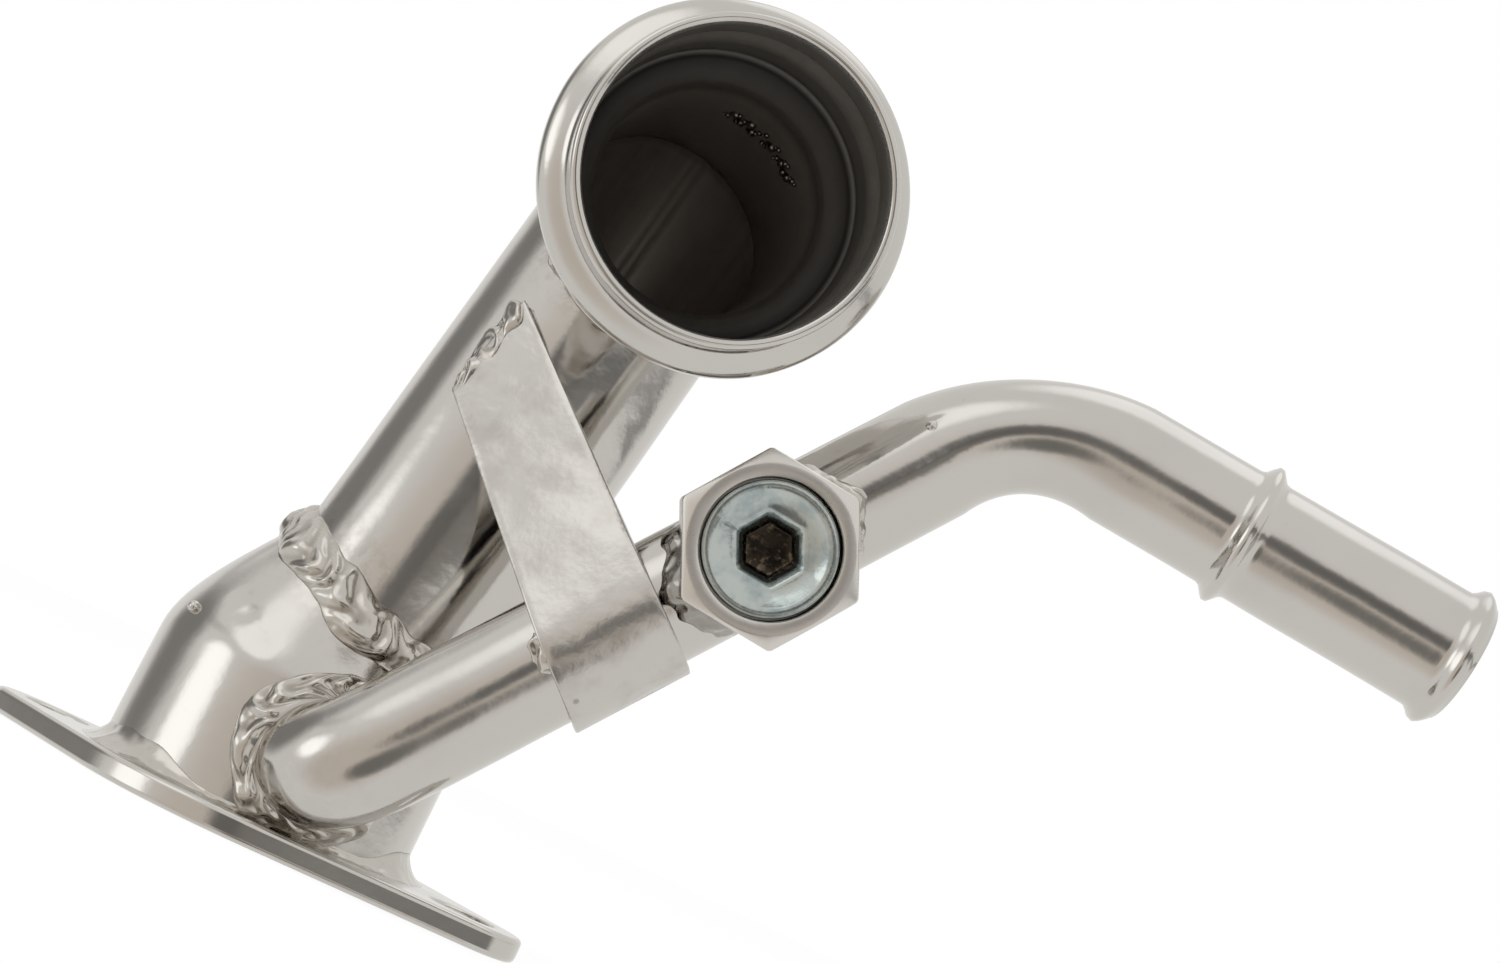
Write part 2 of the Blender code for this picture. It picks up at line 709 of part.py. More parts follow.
def strap_bracket(material):
    """Sheet strip from the main pipe, wrapped over the front of the heater tube."""
    inner_l, outer_l, _, _ = strap_edge(STRAP_FOOT_LEFT, STRAP_HEAD_LEFT)
    inner_r, outer_r, _, _ = strap_edge(STRAP_FOOT_RIGHT, STRAP_HEAD_RIGHT)
    sections = [list(four) for four in zip(inner_l, inner_r, outer_r, outer_l)]
    strap = skin("strap_bracket", sections, material, wrap=False)
    bevel = strap.modifiers.new("Sheared edges", "BEVEL")
    bevel.width = STRAP_T * 0.16
    bevel.segments = 1
    bevel.limit_method = "ANGLE"
    bevel.angle_limit = radians(50)
    return strap


def strap_weld(material):
    """Lumpy bead over the strap's end on the main pipe."""
    inner_l, _, out, along = strap_edge(STRAP_FOOT_LEFT, STRAP_HEAD_LEFT)
    inner_r, _, _, _ = strap_edge(STRAP_FOOT_RIGHT, STRAP_HEAD_RIGHT)
    step = along * (STRAP_WELD_R + SEAT) + out * STRAP_WELD_R
    centres = [inner_l[-1].lerp(inner_r[-1], share) + step for share in spread(0.0, 1.0, 14)]
    outward = [out] * len(centres)
    return open_bead("strap_weld", centres, outward, STRAP_WELD_R, material, sides=8, ripple=0.3, pitch=4 * MM)


def strap_tack(material):
    """Short tack that holds the strap's left edge on the heater tube."""
    origin = CORNER - RUN_AXIS * STRAP_AT
    up = BUNG_AXIS.cross(RUN_AXIS)
    if up.z < 0:
        up = -up
    inner_l, _, _, _ = strap_edge(STRAP_FOOT_LEFT, STRAP_HEAD_LEFT)
    edge = max((point - origin).dot(RUN_AXIS) * -1 for point in inner_l[5:11])
    ring = HEATER_R + TACK_R + SEAT
    centres = []
    outward = []
    for angle in spread(radians(-8), radians(26), 6):
        out = up * sin(angle) + BUNG_AXIS * cos(angle)
        centres.append(origin + out * ring - RUN_AXIS * (edge + TACK_R + SEAT))
        outward.append(out)
    return open_bead("strap_tack", centres, outward, TACK_R, material, sides=8)


def main():
    clear_scene()
    polished = metal("polished_steel", (0.58, 0.56, 0.53), 0.16)
    bead = metal("weld_metal", (0.52, 0.50, 0.46), 0.28)
    sheet = metal("sheet_steel", (0.60, 0.58, 0.55), 0.30)
    zinc = metal("zinc_plate", (0.55, 0.58, 0.56), 0.34)
    flange_plate(polished)
    flange_weld(bead)
    lower_elbow(polished)
    elbow_weld(bead)
    main_pipe(polished)
    neck_weld(bead)
    radiator_neck(polished)
    heater_tube(polished)
    heater_root_weld(bead)
    sensor_bung(polished)
    bung_welds(bead)
    bung_plug(zinc)
    strap_bracket(sheet)
    strap_weld(bead)
    strap_tack(bead)


main()
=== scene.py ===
# Engine coolant outlet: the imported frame, dressed with finer tubes, ropy weld beads and worn plated steel.
# Every size is in metres, and the origin is the middle of the flange bore on the gasket face.

from math import acos, atan2, cos, hypot, pi, radians, sin, sqrt, tan

import bmesh
import bpy
from mathutils import Matrix, Vector, noise


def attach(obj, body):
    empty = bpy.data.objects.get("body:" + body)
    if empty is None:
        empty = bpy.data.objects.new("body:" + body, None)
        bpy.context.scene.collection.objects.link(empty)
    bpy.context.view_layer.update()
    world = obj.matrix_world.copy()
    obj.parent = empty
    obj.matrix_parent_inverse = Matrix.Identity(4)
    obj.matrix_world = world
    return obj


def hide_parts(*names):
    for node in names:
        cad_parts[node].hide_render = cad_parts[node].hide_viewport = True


bl_info = {
    "name": "Engine Coolant Outlet",
    "version": (1, 0, 0),
    "blender": (4, 5, 0),
    "location": "View3D > Sidebar > Coolant Outlet",
    "description": "Dresses the frame of a welded steel coolant outlet with its beads, tubes and finishes",
    "category": "Object",
}

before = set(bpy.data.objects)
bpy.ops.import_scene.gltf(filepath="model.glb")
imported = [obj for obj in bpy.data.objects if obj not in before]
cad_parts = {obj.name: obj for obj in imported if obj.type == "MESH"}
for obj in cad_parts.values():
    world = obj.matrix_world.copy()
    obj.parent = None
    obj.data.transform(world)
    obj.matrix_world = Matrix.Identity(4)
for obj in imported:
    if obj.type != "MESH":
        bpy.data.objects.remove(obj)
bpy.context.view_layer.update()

MM = 0.001
X_AXIS = Vector((1, 0, 0))
Y_AXIS = Vector((0, 1, 0))
Z_AXIS = Vector((0, 0, 1))

# Lines and sizes that the frame was made from
PLATE_T = 3.2 * MM
BOLT_SPACING = 66.0 * MM
BOLT_HOLE_R = 4.3 * MM
LUG_R = 8.6 * MM
BASE_R = 21.5 * MM
BASE_WALL = 1.6 * MM
LAND_R = BASE_R + 4.3 * MM
BASE_FOOT = 0.8 * MM
BASE_STRAIGHT_TOP = 20.0 * MM
ELBOW_LEAVE = 0.9
ELBOW_ARRIVE = 0.8
JOINT = Vector((5.3, 0, 34.8)) * MM
JOINT_TILT = radians(24.5)
OUTLET_TILT = radians(33.0)
PIPE_R = 15.875 * MM
PIPE_WALL = 1.6 * MM
PIPE_LEAN = radians(9.7)
PIPE_RISE = 63.7 * MM
NECK_TURN = radians(29.0)
NECK_DROP = radians(6.5)
NECK_REACH = 55.0 * MM
NECK_R = 19.05 * MM
NECK_WALL = 1.3 * MM
NECK_BEAD_AT = 8.0 * MM
NECK_SEAT_LENGTH = 17.5 * MM
NECK_TAPER = 6.5 * MM
HEATER_R = 7.95 * MM
HEATER_WALL = 1.2 * MM
HEATER_HEADING = radians(11.5)
RUN_CLIMB = radians(52.7)
BARB_DROP = radians(7.1)
CORNER = Vector((74.9, -7.7, 89.5)) * MM
RUN_LENGTH = 80.0 * MM
HEATER_BEND_R = 23.5 * MM
BEND_SQUASH = 0.10
ROOT_HEADING = radians(38.0)
ROOT_EXIT = radians(46.0)
ROOT_REACH = 18.0 * MM
ROOT_Z = 12.4 * MM
ROOT_PULL = 9.0 * MM
RUN_PULL = 14.0 * MM
BARB_LENGTH = 61.0 * MM
STOP_BEAD_AT = 30.5 * MM
BARB_BEAD_W = 3.6 * MM
BUNG_AT = 37.8 * MM
BUNG_AF = 21.0 * MM
BUNG_TURN = radians(1.5)
BUNG_ROLL = radians(12.0)
BUNG_TOP = 14.0 * MM
BUNG_FOOT = 3.4 * MM
BUNG_BORE_R = 8.55 * MM
BUNG_FLOOR = 9.3 * MM
BUNG_CHAMFER = 0.3 * MM
PORT_R = 4.0 * MM
PLUG_GAP = 0.3 * MM
PLUG_RECESS = 0.7 * MM
SOCKET_AF = 7.9 * MM
STRAP_AT = 59.7 * MM
STRAP_T = 1.3 * MM
STRAP_FOOT = (-8.9 * MM, 6.9 * MM)
STRAP_HEAD = (-3.4 * MM, 10.3 * MM)
STRAP_WRAP = radians(80.0)
SEAT = 0.35 * MM
ROOT_STEPS = 48
HALVINGS = 24

# How far a finer piece reaches into what carries it, how far a bead's toes sink, and the angle
# from which an edge counts as sharp
SINK = 0.3 * MM
TOE_SINK = 0.12 * MM
SHARP = radians(50)


def aimed(azimuth, climb):
    """A direction, from its angle round Z and its climb."""
    return Vector((cos(azimuth) * cos(climb), sin(azimuth) * cos(climb), sin(climb)))


JOINT_NORMAL = Vector((sin(JOINT_TILT), 0, cos(JOINT_TILT)))
OUTLET_AXIS = Vector((sin(OUTLET_TILT), 0, cos(OUTLET_TILT)))
PIPE_AXIS = Vector((sin(PIPE_LEAN), 0, cos(PIPE_LEAN)))
NECK_CORNER = JOINT + PIPE_AXIS * PIPE_RISE
NECK_AXIS = aimed(NECK_TURN - pi / 2, -NECK_DROP)
NECK_MITRE = (PIPE_AXIS + NECK_AXIS).normalized()
MOUTH = NECK_CORNER + NECK_AXIS * NECK_REACH
RUN_AXIS = aimed(HEATER_HEADING, RUN_CLIMB)
BARB_AXIS = aimed(HEATER_HEADING, -BARB_DROP)
RUN_START = CORNER - RUN_AXIS * RUN_LENGTH
BEND_SIDE = RUN_AXIS.cross(BARB_AXIS).normalized()
FRONT = BEND_SIDE if BEND_SIDE.y < 0 else -BEND_SIDE
BUNG_AXIS = Matrix.Rotation(BUNG_ROLL, 3, RUN_AXIS) @ FRONT
BUNG_ORIGIN = CORNER - RUN_AXIS * BUNG_AT
ROOT = Vector((ROOT_REACH * sin(ROOT_HEADING), -ROOT_REACH * cos(ROOT_HEADING), ROOT_Z))
ROOT_AXIS = Vector((sin(ROOT_EXIT), -cos(ROOT_EXIT), 0.0))
STRAP_ORIGIN = CORNER - RUN_AXIS * STRAP_AT
STRAP_UP = BUNG_AXIS.cross(RUN_AXIS)
if STRAP_UP.z < 0:
    STRAP_UP = -STRAP_UP


# Lines, loops and surfaces


def spread(start, end, count):
    return [start + (end - start) * i / count for i in range(count + 1)]


def across(axis, hint):
    """Two unit vectors square to an axis, the first as near to the hint as it can be."""
    first = (hint - axis * hint.dot(axis)).normalized()
    return first, axis.cross(first)


def circle(centre, axis, hint, radius, count):
    first, second = across(axis, hint)
    step = 2 * pi / count
    return [centre + (first * cos(i * step) + second * sin(i * step)) * radius for i in range(count)]


def slanted_circle(centre, axis, hint, radius, normal, count):
    """Where a cylinder of this radius along the axis crosses the plane through the centre."""
    loop = circle(centre, axis, hint, radius, count)
    return [point - axis * ((point - centre).dot(normal) / axis.dot(normal)) for point in loop]


def ease(value, low, high):
    """Smooth step from 0 at low to 1 at high."""
    share = min(1.0, max(0.0, (value - low) / (high - low)))
    return share * share * (3 - 2 * share)


def bulge(place, middle, width, height):
    """Height of a rolled bead at a place along the tube."""
    offset = (place - middle) / (width / 2)
    return height * 0.5 * (1 + cos(pi * offset)) if abs(offset) < 1 else 0.0


def tube_between(low, high, count):
    """Loops in straight lines from one loop to another."""
    return [[a.lerp(b, share) for a, b in zip(low, high)] for share in spread(0.0, 1.0, count)]


def elbow_line(start, end, place):
    """A smooth line up the elbow's wall, from its straight part to the slanted joint."""
    reach = (end - start).length
    leave = Z_AXIS * (ELBOW_LEAVE * reach)
    arrive = OUTLET_AXIS * (ELBOW_ARRIVE * reach)
    a = 2 * place**3 - 3 * place**2 + 1
    b = place**3 - 2 * place**2 + place
    c = 3 * place**2 - 2 * place**3
    d = place**3 - place**2
    return start * a + leave * b + end * c + arrive * d


def elbow_ends(base_radius, joint_radius, count):
    top = circle(Z_AXIS * BASE_STRAIGHT_TOP, Z_AXIS, X_AXIS, base_radius, count)
    joint = slanted_circle(JOINT, PIPE_AXIS, X_AXIS, joint_radius, JOINT_NORMAL, count)
    return top, joint


def root_line(place):
    """Centre and direction of the heater tube between the elbow and its straight run."""
    a = ROOT
    b = ROOT + ROOT_AXIS * ROOT_PULL
    c = RUN_START - RUN_AXIS * RUN_PULL
    d = RUN_START
    q = 1 - place
    centre = a * q**3 + b * 3 * q * q * place + c * 3 * q * place * place + d * place**3
    along = (b - a) * q * q + (c - b) * 2 * q * place + (d - c) * place * place
    return centre, along.normalized()


def root_frames():
    """Frames along the root line that don't twist, worked back from the straight run."""
    frames = []
    hint = FRONT
    for place in spread(1.0, 0.0, ROOT_STEPS):
        centre, axis = root_line(place)
        hint, side = across(axis, hint)
        frames.append((centre, axis, hint, side))
    return frames[::-1]


ROOT_FRAMES = root_frames()


def root_point(place, angle, radius):
    spot = min(max(place, 0.0), 1.0) * ROOT_STEPS
    low = min(int(spot), ROOT_STEPS - 1)
    share = spot - low
    points = []
    for centre, _axis, hint, side in ROOT_FRAMES[low:low + 2]:
        points.append(centre + (hint * cos(angle) + side * sin(angle)) * radius)
    return points[0].lerp(points[1], share)


def root_crossing(angle, radius, wall):
    """Where one line along the heater tube leaves the elbow's wall."""
    low, high = 0.0, 1.0
    for _ in range(HALVINGS):
        middle = (low + high) / 2
        point = root_point(middle, angle, radius)
        if hypot(point.x, point.y) > wall:
            high = middle
        else:
            low = middle
    return high


def bung_loop(radius_at, height_at, count):
    """A loop round the bung's axis, with its radius and height given for each angle."""
    side = BUNG_AXIS.cross(RUN_AXIS)
    first = RUN_AXIS * cos(BUNG_TURN) + side * sin(BUNG_TURN)
    second = side * cos(BUNG_TURN) - RUN_AXIS * sin(BUNG_TURN)
    loop = []
    for i in range(count):
        angle = 2 * pi * i / count
        spoke = (first * cos(angle) + second * sin(angle)) * radius_at(angle)
        loop.append(BUNG_ORIGIN + spoke + BUNG_AXIS * height_at(angle, spoke.dot(side)))
    return loop


def hexagon_reach(angle, flats, blunt):
    """Distance from a hexagon's middle to its edge, with its corners cut back by blunt."""
    apart = angle % (pi / 3) - pi / 6
    return min(flats / 2 / cos(apart), flats / sqrt(3) - blunt)


def strap_edge(foot, head, count=28):
    """Inner and outer profile of one edge of the strap, in the plane square to the run."""
    plane_at = STRAP_ORIGIN + RUN_AXIS * head
    crossing = JOINT + PIPE_AXIS * ((plane_at - JOINT).dot(RUN_AXIS) / PIPE_AXIS.dot(RUN_AXIS))
    middle = crossing - plane_at
    c_up, c_front = middle.dot(STRAP_UP), middle.dot(BUNG_AXIS)
    wrap_r = HEATER_R + SEAT
    stretch = 1 / PIPE_AXIS.dot(RUN_AXIS)
    lean = radians(30)
    for _ in range(6):
        pipe_r = hypot(PIPE_R * stretch * sin(lean), PIPE_R * cos(lean)) + SEAT
        lean = atan2(c_up, c_front) - acos((wrap_r - pipe_r) / hypot(c_up, c_front))
    reach = c_up * cos(lean) - c_front * sin(lean) + 1.0 * MM
    total = wrap_r * (lean + STRAP_WRAP) + reach
    inner = []
    outer = []
    for travelled in spread(0.0, total, count):
        angle = min(lean, travelled / wrap_r - STRAP_WRAP)
        along = max(0.0, travelled - wrap_r * (lean + STRAP_WRAP))
        a = wrap_r * sin(angle) + cos(lean) * along
        b = wrap_r * cos(angle) - sin(lean) * along
        shift = foot + (head - foot) * travelled / total
        out = STRAP_UP * sin(angle) + BUNG_AXIS * cos(angle)
        point = STRAP_ORIGIN + STRAP_UP * a + BUNG_AXIS * b + RUN_AXIS * shift
        inner.append(point)
        outer.append(point + out * STRAP_T)
    return inner, outer, out, STRAP_UP * cos(lean) - BUNG_AXIS * sin(lean)


# Meshes


def build_mesh(name, rows, wrap=True, cap=False, **layers):
    """Skins rows of points into a closed surface, with one number for each row kept in each layer."""
    shape = bmesh.new()
    kept = {key: shape.verts.layers.float.new(key) for key in layers}
    rings = []
    for at, row in enumerate(rows):
        ring = []
        for spot, point in enumerate(row):
            vert = shape.verts.new(point)
            for key, values in layers.items():
                value = values[at]
                vert[kept[key]] = value[spot] if isinstance(value, (list, tuple)) else value
            ring.append(vert)
        rings.append(ring)
    pairs = list(zip(rings, rings[1:]))
    if wrap:
        pairs.append((rings[-1], rings[0]))
    for low, high in pairs:
        count = len(low)
        for i in range(count):
            j = (i + 1) % count
            shape.faces.new((low[i], low[j], high[j], high[i]))
    if cap:
        shape.faces.new(list(reversed(rings[0])))
        shape.faces.new(rings[-1])
    bmesh.ops.recalc_face_normals(shape, faces=shape.faces)
    mesh = bpy.data.meshes.new(name)
    shape.to_mesh(mesh)
    shape.free()
    mesh.shade_smooth()
    return mesh


def add_object(name, mesh):
    piece = bpy.data.objects.new(name, mesh)
    bpy.context.scene.collection.objects.link(piece)
    return piece


def add_skin(name, rows, **options):
    return add_object(name, build_mesh(name, rows, **options))


def add_points(name, points, faces=()):
    """A piece from bare points, or from points and the faces between them."""
    mesh = bpy.data.meshes.new(name)
    mesh.from_pydata(points, [], list(faces))
    return add_object(name, mesh)


def bake(piece):
    """Turns what the modifiers make into the piece's own plain mesh."""
    deps = bpy.context.evaluated_depsgraph_get()
    mesh = bpy.data.meshes.new_from_object(piece.evaluated_get(deps), depsgraph=deps)
    mesh.name = piece.name
    piece.modifiers.clear()
    piece.data = mesh


def round_edges(piece, label, width, segments, harden=False):
    bevel = piece.modifiers.new(label, "BEVEL")
    bevel.width = width
    bevel.segments = segments
    bevel.limit_method = "ANGLE"
    bevel.angle_limit = SHARP
    bevel.harden_normals = harden
    bake(piece)


def dress(piece, material, slot, *nodes):
    """Gives a piece its finish, and puts it in the place of the frame's nodes."""
    piece.data.materials.clear()
    piece.data.materials.append(material)
    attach(piece, "root")
    if nodes:
        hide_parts(*nodes)


def wavy(point, out, height, size):
    """A point pushed in or out a little, as a drawn and buffed tube is never quite even."""
    return point + out * (height * noise.noise(point / size))


def wall_piece(name, outer, inner, middle_of, wave=0.09 * MM, size=17 * MM, dents=()):
    """A tube with a wall, its outside slightly uneven and its dents pressed in."""
    rows = []
    for loop in outer:
        row = []
        for point in loop:
            out = (point - middle_of(point)).normalized()
            moved = wavy(point, out, wave, size)
            for start, end, width, depth in dents:
                line = end - start
                share = min(1.0, max(0.0, (point - start).dot(line) / line.length_squared))
                apart = (point - start - line * share).length / width
                if apart < 1:
                    moved -= out * depth * (1 - apart * apart) ** 2
            row.append(moved)
        rows.append(row)
    inside = [0.0] * len(outer) + [1.0] * len(inner)
    return add_skin(name, rows + inner[::-1], inside=inside)


def carve(piece, start, end, radius, count=48):
    """Cuts a round hole through a piece."""
    axis = (end - start).normalized()
    hint = Z_AXIS if abs(axis.z) < 0.9 else X_AXIS
    rings = [circle(at, axis, hint, radius, count) for at in (start, end)]
    tool = add_skin("cutter", rings, wrap=False, cap=True)
    boolean = piece.modifiers.new("Hole", "BOOLEAN")
    boolean.operation = "DIFFERENCE"
    boolean.solver = "EXACT"
    boolean.object = tool
    bake(piece)
    bpy.data.objects.remove(tool, do_unlink=True)


def weld_rows(stations, closed, sides=25, under=1.0 * MM):
    """Sections of a weld bead, each from one toe over its crown to the other toe and back underneath."""
    rows = []
    beat = []
    side = []
    crown = []
    travelled = 0.0
    lengths = [0.0]
    ridges = [station[1] for station in stations]
    for a, b in zip(ridges, ridges[1:]):
        travelled += (b - a).length
        lengths.append(travelled)
    if closed:
        travelled += (ridges[0] - ridges[-1]).length
    for at, (first, ridge, second, out, height) in enumerate(stations):
        middle = (first + second) / 2
        base = ridge if (ridge - middle).dot(out) > 0 else middle
        peak = (base + out * height) * 2 - middle
        row = []
        places = []
        tops = []
        for share in spread(0.0, 1.0, sides - 1):
            row.append(first * (1 - share) ** 2 + peak * 2 * share * (1 - share) + second * share * share)
            places.append(share * 2 - 1)
            tops.append((4 * share * (1 - share)) ** 0.7)
        for share in (0.85, 0.5, 0.15):
            row.append(first.lerp(second, share).lerp(ridge, 0.6) - out * under)
            places.append(share * 2 - 1)
            tops.append(0.0)
        rows.append(row)
        beat.append(lengths[at] / max(travelled, 1e-6))
        side.append(places)
        crown.append(tops)
    return rows, beat, side, crown, travelled


# Node trees


class Wire:
    """One output socket, on which sums can be written."""

    def __init__(self, bench, socket):
        self.bench = bench
        self.socket = socket

    def sum_with(self, operation, first, second):
        return self.bench.add("ShaderNodeMath", {"operation": operation}, {0: first, 1: second})

    def __add__(self, other):
        return self.sum_with("ADD", self, other)

    __radd__ = __add__

    def __mul__(self, other):
        return self.sum_with("MULTIPLY", self, other)

    __rmul__ = __mul__

    def __sub__(self, other):
        return self.sum_with("SUBTRACT", self, other)

    def __rsub__(self, other):
        return self.sum_with("SUBTRACT", other, self)

    def __truediv__(self, other):
        return self.sum_with("DIVIDE", self, other)

    def __rtruediv__(self, other):
        return self.sum_with("DIVIDE", other, self)

    def __abs__(self):
        return self.bench.add("ShaderNodeMath", {"operation": "ABSOLUTE"}, {0: self})


class Bench:
    """One node tree, and the ways in which this object's finishes use it."""

    def __init__(self, tree):
        self.tree = tree

    def add(self, kind, settings=None, sockets=None, output=0):
        node = self.tree.nodes.new(kind)
        for key, value in (settings or {}).items():
            setattr(node, key, value)
        for key, value in (sockets or {}).items():
            if isinstance(value, Wire):
                self.tree.links.new(value.socket, node.inputs[key])
            elif value is not None:
                node.inputs[key].default_value = value
        return Wire(self, node.outputs[output]) if len(node.outputs) else node

    def coords(self):
        return self.add("ShaderNodeTexCoord", output="Object")

    def attribute(self, name):
        return self.add("ShaderNodeAttribute", {"attribute_name": name}, output="Fac")

    def noise(self, vector, size, detail=2.0, roughness=0.5):
        """Soft noise whose lumps are about this size, in metres."""
        sockets = {"Vector": vector, "Scale": 1 / size, "Detail": detail, "Roughness": roughness}
        return self.add("ShaderNodeTexNoise", {"noise_dimensions": "3D"}, sockets)

    def step(self, value, low, high):
        """Smooth step from 0 at low to 1 at high."""
        sockets = {"Value": value, "From Min": low, "From Max": high}
        return self.add("ShaderNodeMapRange", {"interpolation_type": "SMOOTHSTEP"}, sockets)

    def colour(self, factor, first, second, blend="MIX"):
        settings = {"data_type": "RGBA", "blend_type": blend}
        sockets = {0: factor, 6: rgba(first), 7: rgba(second)}
        return self.add("ShaderNodeMix", settings, sockets, output=2)

    def vector(self, operation, first, second=None, output=0, scale=None):
        sockets = {0: first, 1: second}
        if scale is not None:
            sockets["Scale"] = scale
        return self.add("ShaderNodeVectorMath", {"operation": operation}, sockets, output)

    def stretch(self, vector, axis, amount):
        """The same place with its reach along an axis scaled, for grain that runs along it."""
        reach = self.vector("DOT_PRODUCT", vector, tuple(axis), output="Value")
        shift = self.vector("SCALE", tuple(axis), scale=reach * (amount - 1))
        return self.vector("ADD", vector, shift)

    def distance(self, vector, point):
        return self.vector("DISTANCE", vector, tuple(point), output="Value")

    def from_plane(self, vector, point, normal):
        """Distance from a plane, in metres, on either side."""
        reach = self.vector("DOT_PRODUCT", vector, tuple(normal), output="Value")
        return abs(reach - Vector(point).dot(normal))

    def bump(self, height, strength, distance, under=None):
        sockets = {"Height": height, "Strength": strength, "Distance": distance}
        if under is not None:
            sockets["Normal"] = under
        return self.add("ShaderNodeBump", None, sockets)


def rgba(value):
    return value if isinstance(value, Wire) or len(value) == 4 else (*value, 1.0)


def tinted(bench, colour, share):
    """A colour link made darker."""
    return bench.colour(1.0, colour, (share, share, share), "MULTIPLY")


def new_finish(name, preview):
    material = bpy.data.materials.new(name)
    material.use_nodes = True
    material.diffuse_color = (*preview, 1.0)
    bench = Bench(material.node_tree)
    return material, bench, material.node_tree.nodes["Principled BSDF"]


def wire_up(bench, shader, **values):
    """Sets the shader's sockets to plain values, or links what changes over the surface."""
    for name, value in values.items():
        socket = shader.inputs[name.replace("_", " ")]
        if isinstance(value, Wire):
            bench.tree.links.new(value.socket, socket)
        else:
            socket.default_value = rgba(value) if name == "Base_Color" else value


def plated_steel(name, tone, axis, paints_bore_shading, matt=0.0):
    """Buffed and plated steel: soft waves, lengthwise polishing, grey bloom, and heat stain by the welds; in
    the bores, rust streaks over painted light and shade.
    """
    material, bench, shader = new_finish(name, tone)
    at = bench.coords()
    cloud = bench.noise(at, 16 * MM, 3.0, 0.55)
    speck = bench.noise(at, 1.1 * MM, 3.0, 0.6)
    grain = bench.noise(bench.stretch(at, axis, 0.06), 0.5 * MM, 2.0, 0.6)
    bloom = bench.step(cloud, 0.45, 0.75)
    joint_gap = bench.from_plane(at, JOINT, JOINT_NORMAL)
    neck_gap = bench.from_plane(at, NECK_CORNER, NECK_MITRE)
    near_joint = bench.step(joint_gap, 8.5 * MM, 2.5 * MM)
    near_joint *= bench.step(bench.distance(at, JOINT), 26 * MM, 22 * MM)
    near_neck = bench.step(neck_gap, 6.0 * MM, 1.5 * MM)
    near_neck *= bench.step(bench.distance(at, NECK_CORNER), 27 * MM, 24 * MM)
    near_root = bench.step(bench.distance(at, ROOT + ROOT_AXIS * 5 * MM), 16 * MM, 9 * MM)
    ragged = bench.step(bench.noise(at, 2.2 * MM, 4.0, 0.65), 0.42, 0.62)
    heat = (near_joint * 0.6 + near_neck * 0.5 + near_root * 0.12) * ragged
    stain = bench.add("ShaderNodeClamp", None, {"Value": heat * 0.75})
    clean = bench.colour(bloom * 0.5, tone, tuple(c * 0.93 for c in tone))
    toned = bench.colour(bench.step(speck, 0.68, 0.80) * 0.2, clean, (0.30, 0.27, 0.23))
    brown = bench.colour(stain * 0.55, toned, (0.27, 0.235, 0.19))
    rough = (0.10 + matt) + bloom * 0.05 + stain * 0.12 + speck * 0.03
    wide = bench.bump(bench.noise(at, 9 * MM, 1.0, 0.4), 0.35, 0.35 * MM)
    fine = bench.bump(bench.noise(at, 1.7 * MM, 2.0, 0.5), 0.16, 0.10 * MM, wide)
    polish = bench.bump(grain, 0.05, 0.05 * MM, fine)
    if paints_bore_shading:
        # Painted light and shade down the bore, measured back from the neck's mouth: a lighter cup by the
        # mouth, a painted highlight ring at the throat's step, near black just past it, and growing lighter
        # again further in. Rust streaks darken it in patches.
        inside = bench.attribute("inside")
        scale = bench.noise(at, 2.6 * MM, 4.0, 0.7)
        streak = bench.noise(bench.stretch(at, PIPE_AXIS, 0.08), 2.4 * MM, 3.0, 0.6)
        depth = MOUTH.dot(NECK_AXIS) - bench.vector("DOT_PRODUCT", at, tuple(NECK_AXIS), output="Value")
        lit_cup = bench.step(depth, 17.4 * MM, 15.0 * MM)
        ring = bench.step(abs(depth - 17.3 * MM), 0.9 * MM, 0.25 * MM)
        deep = bench.step(depth, 18.0 * MM, 26.0 * MM)
        bore_light_and_shade = bench.colour(deep, (0.030, 0.027, 0.024), (0.36, 0.32, 0.285))
        bore_light_and_shade = bench.colour(lit_cup, bore_light_and_shade, (0.20, 0.185, 0.165))
        bore_light_and_shade = bench.colour(ring, bore_light_and_shade, (0.42, 0.40, 0.37))
        rust_on_bore_shading = bench.colour(scale * 0.5 + streak * 0.6, tinted(bench, bore_light_and_shade, 0.55), bore_light_and_shade)
        wire_up(bench, shader, Base_Color=bench.colour(inside, brown, rust_on_bore_shading))
        wire_up(bench, shader, Roughness=rough * (1 - inside) + inside * (0.30 + scale * 0.25))
        wire_up(bench, shader, Metallic=1 - inside * 0.5)
    else:
        wire_up(bench, shader, Base_Color=brown, Roughness=rough, Metallic=1.0)
    wire_up(bench, shader, Normal=polish)
    return material


def weld_metal(name, tone, darkening):
    """Plated weld bead: bright on its crowns, brown and dull down in the hollows and along the toes."""
    material, bench, shader = new_finish(name, tone)
    at = bench.coords()
    crown = bench.attribute("crown")
    hollow = bench.attribute("hollow")
    grit = bench.noise(at, 1.3 * MM, 4.0, 0.65)
    toe = bench.step(crown, 0.55, 0.05)
    grime = toe * 0.25 + hollow * 0.45 + bench.step(grit, 0.55, 0.8) * 0.2
    dirt = bench.add("ShaderNodeClamp", None, {"Value": grime})
    wire_up(bench, shader, Base_Color=bench.colour(dirt * darkening, tone, (0.16, 0.13, 0.10)))
    wire_up(bench, shader, Roughness=0.10 + dirt * 0.22 + grit * 0.04, Metallic=1.0)
    lumps = bench.bump(bench.noise(at, 2.2 * MM, 1.0, 0.5), 0.35, 0.25 * MM)
    wire_up(bench, shader, Normal=bench.bump(grit, 0.12, 0.07 * MM, lumps))
    return material


